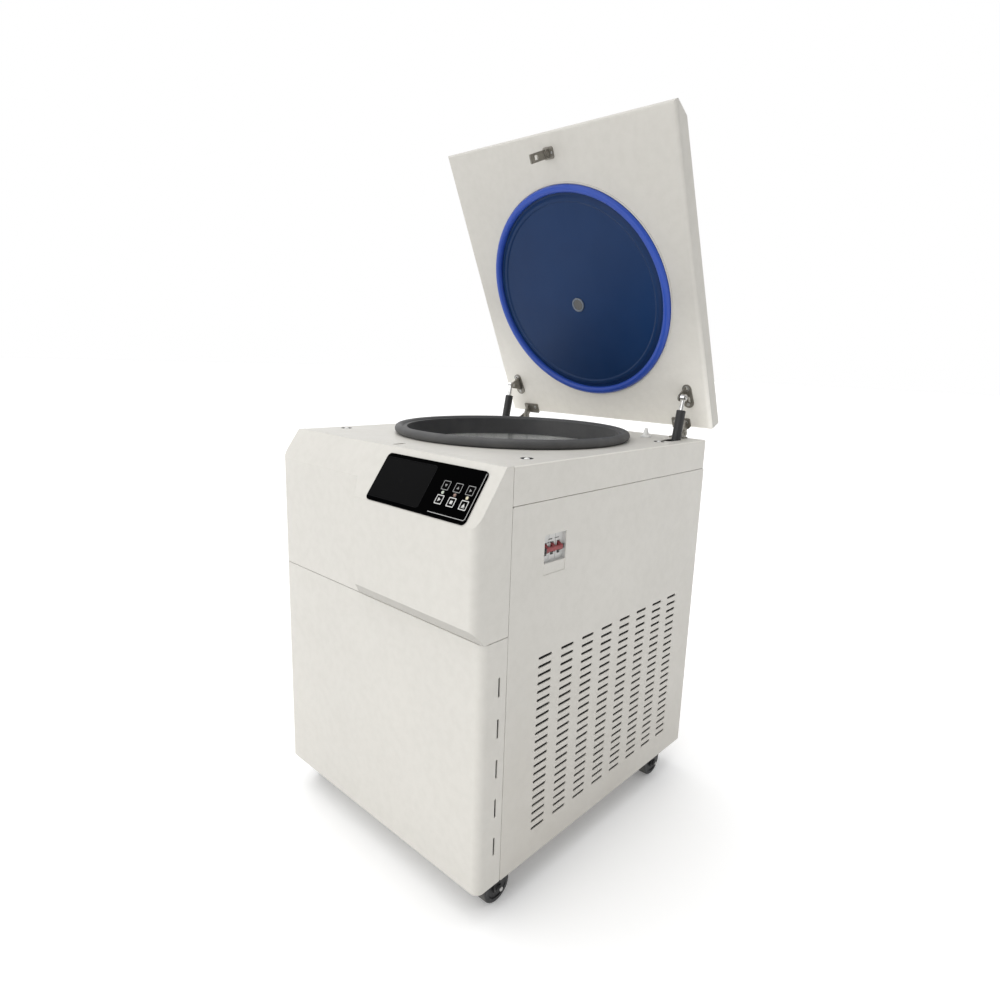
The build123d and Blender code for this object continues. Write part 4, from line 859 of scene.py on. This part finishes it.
def on_lid(x, up, off=0.0):
    """A point of the open lid: up from its lower edge, off its inner face."""
    return HINGE + Vector((x, 0, 0)) + UP_LID * (up + HINGE_BEHIND) + OFF_LID * (off - HINGE_BELOW)


VIEWPORT_UP = 0.294
VIEWPORT_INNER = 0.002  # where the plug's two faces lie, off the lid's inner face
VIEWPORT_OUTER = -0.042


def add_viewport_rings():
    """A blue-grey ring round the viewport's inner face, and a black gasket outside."""
    ring = bmesh.new()
    profile = [(0.0122, 0.0), (0.0126, 0.0009), (0.0150, 0.0012), (0.0163, 0.0007), (0.0163, -0.0006)]
    lathe(ring, profile, placed(on_lid(0, VIEWPORT_UP, VIEWPORT_INNER), OFF_LID), 48)
    ring_material = plastic("viewport_ring", (0.10, 0.125, 0.165), 0.25, 0.1, coat=0.5)
    piece("viewport_ring", ring, "lid", ring_material)
    gasket = bmesh.new()
    profile = [(0.0215, 0.0), (0.0215, 0.0014), (0.0236, 0.0016), (0.0246, 0.0010), (0.0248, 0.0)]
    lathe(gasket, profile, placed(on_lid(0, VIEWPORT_UP, VIEWPORT_OUTER), -OFF_LID), 48)
    piece("viewport_gasket", gasket, "lid", by_slot["mount_rubber"])


# Across, up and off the lid: a hinge leaf, a strut bracket's plate, its pin and the striker.
LEAF_X, LEAF_UP, LEAF_THICKNESS = 0.228, 0.015, 0.003
PLATE_X, PLATE_SCREW_UP, PLATE_WASHER_UP, PLATE_THICKNESS = 0.253, 0.0605, 0.099, 0.0025
PIN_X, PIN_UP, PIN_OFF, PIN_HALF = 0.257, 0.089, 0.0275, 0.008
STRIKER_X, STRIKER_UP = 0.0090, 0.616


def add_lid_screws():
    """Screws in the hinge leaves, strut brackets and striker, and caps on the bracket pins."""
    mesh = bmesh.new()
    dome = [(0.0052, -0.0004), (0.0052, 0.0007), (0.0040, 0.0015), (0.0, 0.0018)]
    for side in (-1, 1):
        for hole in (-0.014, 0.014):
            leaf = on_lid(side * LEAF_X + hole, LEAF_UP, LEAF_THICKNESS)
            pan_screw(mesh, leaf, OFF_LID, 0.0040, 0.0016)
        plate = on_lid(side * PLATE_X, PLATE_SCREW_UP, PLATE_THICKNESS)
        pan_screw(mesh, plate, OFF_LID, 0.0040, 0.0016)
        plate = on_lid(side * PLATE_X, PLATE_WASHER_UP, PLATE_THICKNESS)
        washer(mesh, plate, OFF_LID, 0.0068, 0.0042, 0.0009)
        striker = on_lid(side * STRIKER_X, STRIKER_UP, PLATE_THICKNESS)
        pan_screw(mesh, striker, OFF_LID, 0.0026, 0.0012)
        for end in (-1, 1):
            pin_end = on_lid(side * PIN_X + end * PIN_HALF, PIN_UP, PIN_OFF)
            lathe(mesh, dome, placed(pin_end, (end, 0, 0), (0, 0, 1)), 20)
    piece("lid_screws", mesh, "lid", by_slot["screw_steel"])


HINGE_BASE_X, HINGE_BASE_Y, HINGE_BASE_THICKNESS = 0.240, 0.310, 0.003
DECK_SCREW_INSET = 0.006  # from the edge of the deck screws' bounds to a screw's axis


def add_deck_fittings():
    """Screws on the hinge bases, dark wells as painted shade and caps at the deck screws, and the lid stop's foot.
    """
    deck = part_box("top_cover")[1].z
    up = Vector((0, 0, 1))
    screws = bmesh.new()
    for side in (-1, 1):
        for hole in (-0.013, 0.013):
            x = side * HINGE_BASE_X + hole
            origin = Vector((x, HINGE_BASE_Y, deck + HINGE_BASE_THICKNESS))
            pan_screw(screws, origin, up, 0.0038, 0.0018)
    piece("hinge_base_screws", screws, "cabinet", by_slot["screw_steel"])
    wells = bmesh.new()
    caps = bmesh.new()
    # the wells are dark rubber as painted shade in the screw dimples
    well = [(0.0063, -0.0038), (0.0094, -0.0038), (0.0100, -0.0024), (0.0108, 0.0001), (0.0114, 0.0002)]
    cap = [(0.0, 0.0014), (0.0022, 0.0012), (0.0040, 0.0005), (0.0050, -0.0006), (0.0050, -0.0011)]
    low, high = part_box("deck_screws")
    for x in (low.x + DECK_SCREW_INSET, high.x - DECK_SCREW_INSET):
        for y in (low.y + DECK_SCREW_INSET, high.y - DECK_SCREW_INSET):
            matrix = placed(Vector((x, y, deck)), up)
            lathe(wells, well, matrix, 32)
            lathe(caps, cap, matrix, 28)
    piece("deck_wells_shaded", wells, "cabinet", by_slot["mount_rubber"])
    piece("deck_caps", caps, "cabinet", by_slot["stop_white"])
    foot = bmesh.new()
    flange = [(0.0111, 0.0), (0.0111, 0.0012), (0.0128, 0.0009), (0.0134, 0.0)]
    centre = node_centre("lid_stop")
    lathe(foot, flange, placed(Vector((centre.x, centre.y, deck)), up), 32)
    piece("lid_stop_foot", foot, "cabinet", by_slot["breaker_grey"])


BREAKER_RECESS = 0.0057  # from the surround's front edge back to the poles' faces
POLE_EDGE = 0.0088  # from the breaker's middle to the edge of its middle pole


def add_breaker_marks():
    """Generic rating dashes above the levers, and dark gaps between the poles."""
    centre = node_centre("breaker_body")
    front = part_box("breaker_body")[1].x
    flat = placed(Vector((front - BREAKER_RECESS, centre.y, centre.z)), (1, 0, 0), (0, 1, 0))
    marks = bmesh.new()
    dashes = (  # across, above, width, height
        (-0.0050, 0.0135, 0.0100, 0.0020),
        (0.0125, 0.0135, 0.0110, 0.0014),
        (-0.0100, 0.0080, 0.0030, 0.0022),
        (-0.0050, 0.0080, 0.0030, 0.0022),
    )
    for across, above, width, height in dashes:
        dash = rounded_outline(width, height, 0.0003, 2, (across, above))
        prism(marks, dash, INK_LOW, 0.00012, flat)
    dark_print = print_ink("breaker_print", (0.055, 0.055, 0.052))
    piece("breaker_marks", marks, "cabinet", dark_print)
    gaps = bmesh.new()
    for edge in (-POLE_EDGE, POLE_EDGE):
        prism(gaps, rounded_outline(0.0005, 0.0445, 0.0002, 2, (edge, 0.0)), 0.00001, 0.00009, flat)
    piece("pole_gaps", gaps, "cabinet", print_ink("pole_gap", (0.10, 0.10, 0.098)))


def main():
    paint_cad_pieces()
    add_key_prints()
    add_indicators()
    add_fascia_line()
    add_display_frame()
    add_rear_screws()
    add_spindle_boot()
    add_bucket_pads()
    add_caster_axles()
    add_vent_filters()
    add_viewport_rings()
    add_lid_screws()
    add_deck_fittings()
    add_breaker_marks()


main()

# ---------------------------------------------------------------- floor, light, camera


def add_floor():
    """A wide pale floor, just below the wheels."""
    mesh = bmesh.new()
    reach = 40.0
    below = -0.0005
    corners = [(-reach, -reach), (reach, -reach), (reach, reach), (-reach, reach)]
    mesh.faces.new([mesh.verts.new((x, y, below)) for x, y in corners])
    data = bpy.data.meshes.new("floor")
    mesh.to_mesh(data)
    mesh.free()
    surface = Surface("floor")
    base = surface.ramp(surface.noise(0.8, 4.0), (0.3, (0.95, 0.95, 0.95)), (0.7, (0.97, 0.97, 0.97)))
    surface.finish(Emission_Color=(1.0, 1.0, 1.0, 1.0), Emission_Strength=0.13)
    data.materials.append(surface.finish(Base_Color=base, Roughness=0.6, Specular_IOR_Level=0.2))
    floor = bpy.data.objects.new("floor", data)
    bpy.context.scene.collection.objects.link(floor)


# How the surround dims along an axis of the world: where it starts and ends, and its strength there.
SIDE_DIM = (0.05, 0.85, 1.0, 0.46)
FRONT_DIM = (-0.7, 0.1, 0.62, 1.0)
SUNS = (
    ("key", 1.3, 80, (0.35, 0.42, -1.3)),
    ("fill", 0.75, 50, (0.12, 1.0, -0.06)),
)


def add_light():
    """A white surround, dimmer on the right and in front, with a soft key and a low front fill."""
    world = bpy.data.worlds.new("studio")
    bpy.context.scene.world = world
    world.use_nodes = True
    nodes, link = world.node_tree.nodes, world.node_tree.links.new
    coords = nodes.new("ShaderNodeTexCoord")
    split = nodes.new("ShaderNodeSeparateXYZ")
    link(coords.outputs["Generated"], split.inputs[0])
    both = nodes.new("ShaderNodeMath")
    both.operation = "MULTIPLY"
    for axis, limits in enumerate((SIDE_DIM, FRONT_DIM)):
        dim = nodes.new("ShaderNodeMapRange")
        for index, value in enumerate(limits, start=1):
            dim.inputs[index].default_value = value
        link(split.outputs[axis], dim.inputs[0])
        link(dim.outputs[0], both.inputs[axis])
    background = nodes["Background"]
    background.inputs["Color"].default_value = (1.0, 1.0, 1.0, 1.0)
    link(both.outputs[0], background.inputs["Strength"])
    for name, energy, spread, aim in SUNS:
        lamp = bpy.data.lights.new(name, "SUN")
        lamp.energy = energy
        lamp.angle = math.radians(spread)
        sun = bpy.data.objects.new(name, lamp)
        sun.rotation_euler = Vector(aim).to_track_quat("-Z", "Y").to_euler()
        bpy.context.scene.collection.objects.link(sun)


CAMERA_PLACE = Vector((0.9684, -1.0443, 0.9629))
CAMERA_AZIMUTH = 41.58
CAMERA_DOWN = 11.76
CAMERA_ROLL = 2.22
CAMERA_FOCAL = 0.6601  # focal length over the sensor's width
CAMERA_SHIFT = (-0.0197, -0.0035)
SENSOR_WIDTH = 36.0


def add_camera():
    """The viewpoint: in front and to the right, a little above the deck."""
    lens_data = bpy.data.cameras.new("camera")
    lens_data.sensor_width = SENSOR_WIDTH
    lens_data.lens = CAMERA_FOCAL * SENSOR_WIDTH
    lens_data.shift_x, lens_data.shift_y = CAMERA_SHIFT
    lens_data.clip_end = 200.0
    camera = bpy.data.objects.new("camera", lens_data)
    azimuth = math.radians(CAMERA_AZIMUTH)
    pitch = math.radians(CAMERA_DOWN)
    level_run = math.cos(pitch)
    forward = Vector((-math.sin(azimuth) * level_run, math.cos(azimuth) * level_run, -math.sin(pitch)))
    aim = forward.to_track_quat("-Z", "Y").to_matrix().to_4x4()
    roll = Matrix.Rotation(math.radians(CAMERA_ROLL), 4, "Z")
    camera.matrix_world = Matrix.Translation(CAMERA_PLACE) @ aim @ roll
    bpy.context.scene.collection.objects.link(camera)
    bpy.context.scene.camera = camera


add_floor()
add_light()
add_camera()
bpy.context.scene.view_settings.view_transform = "Standard"
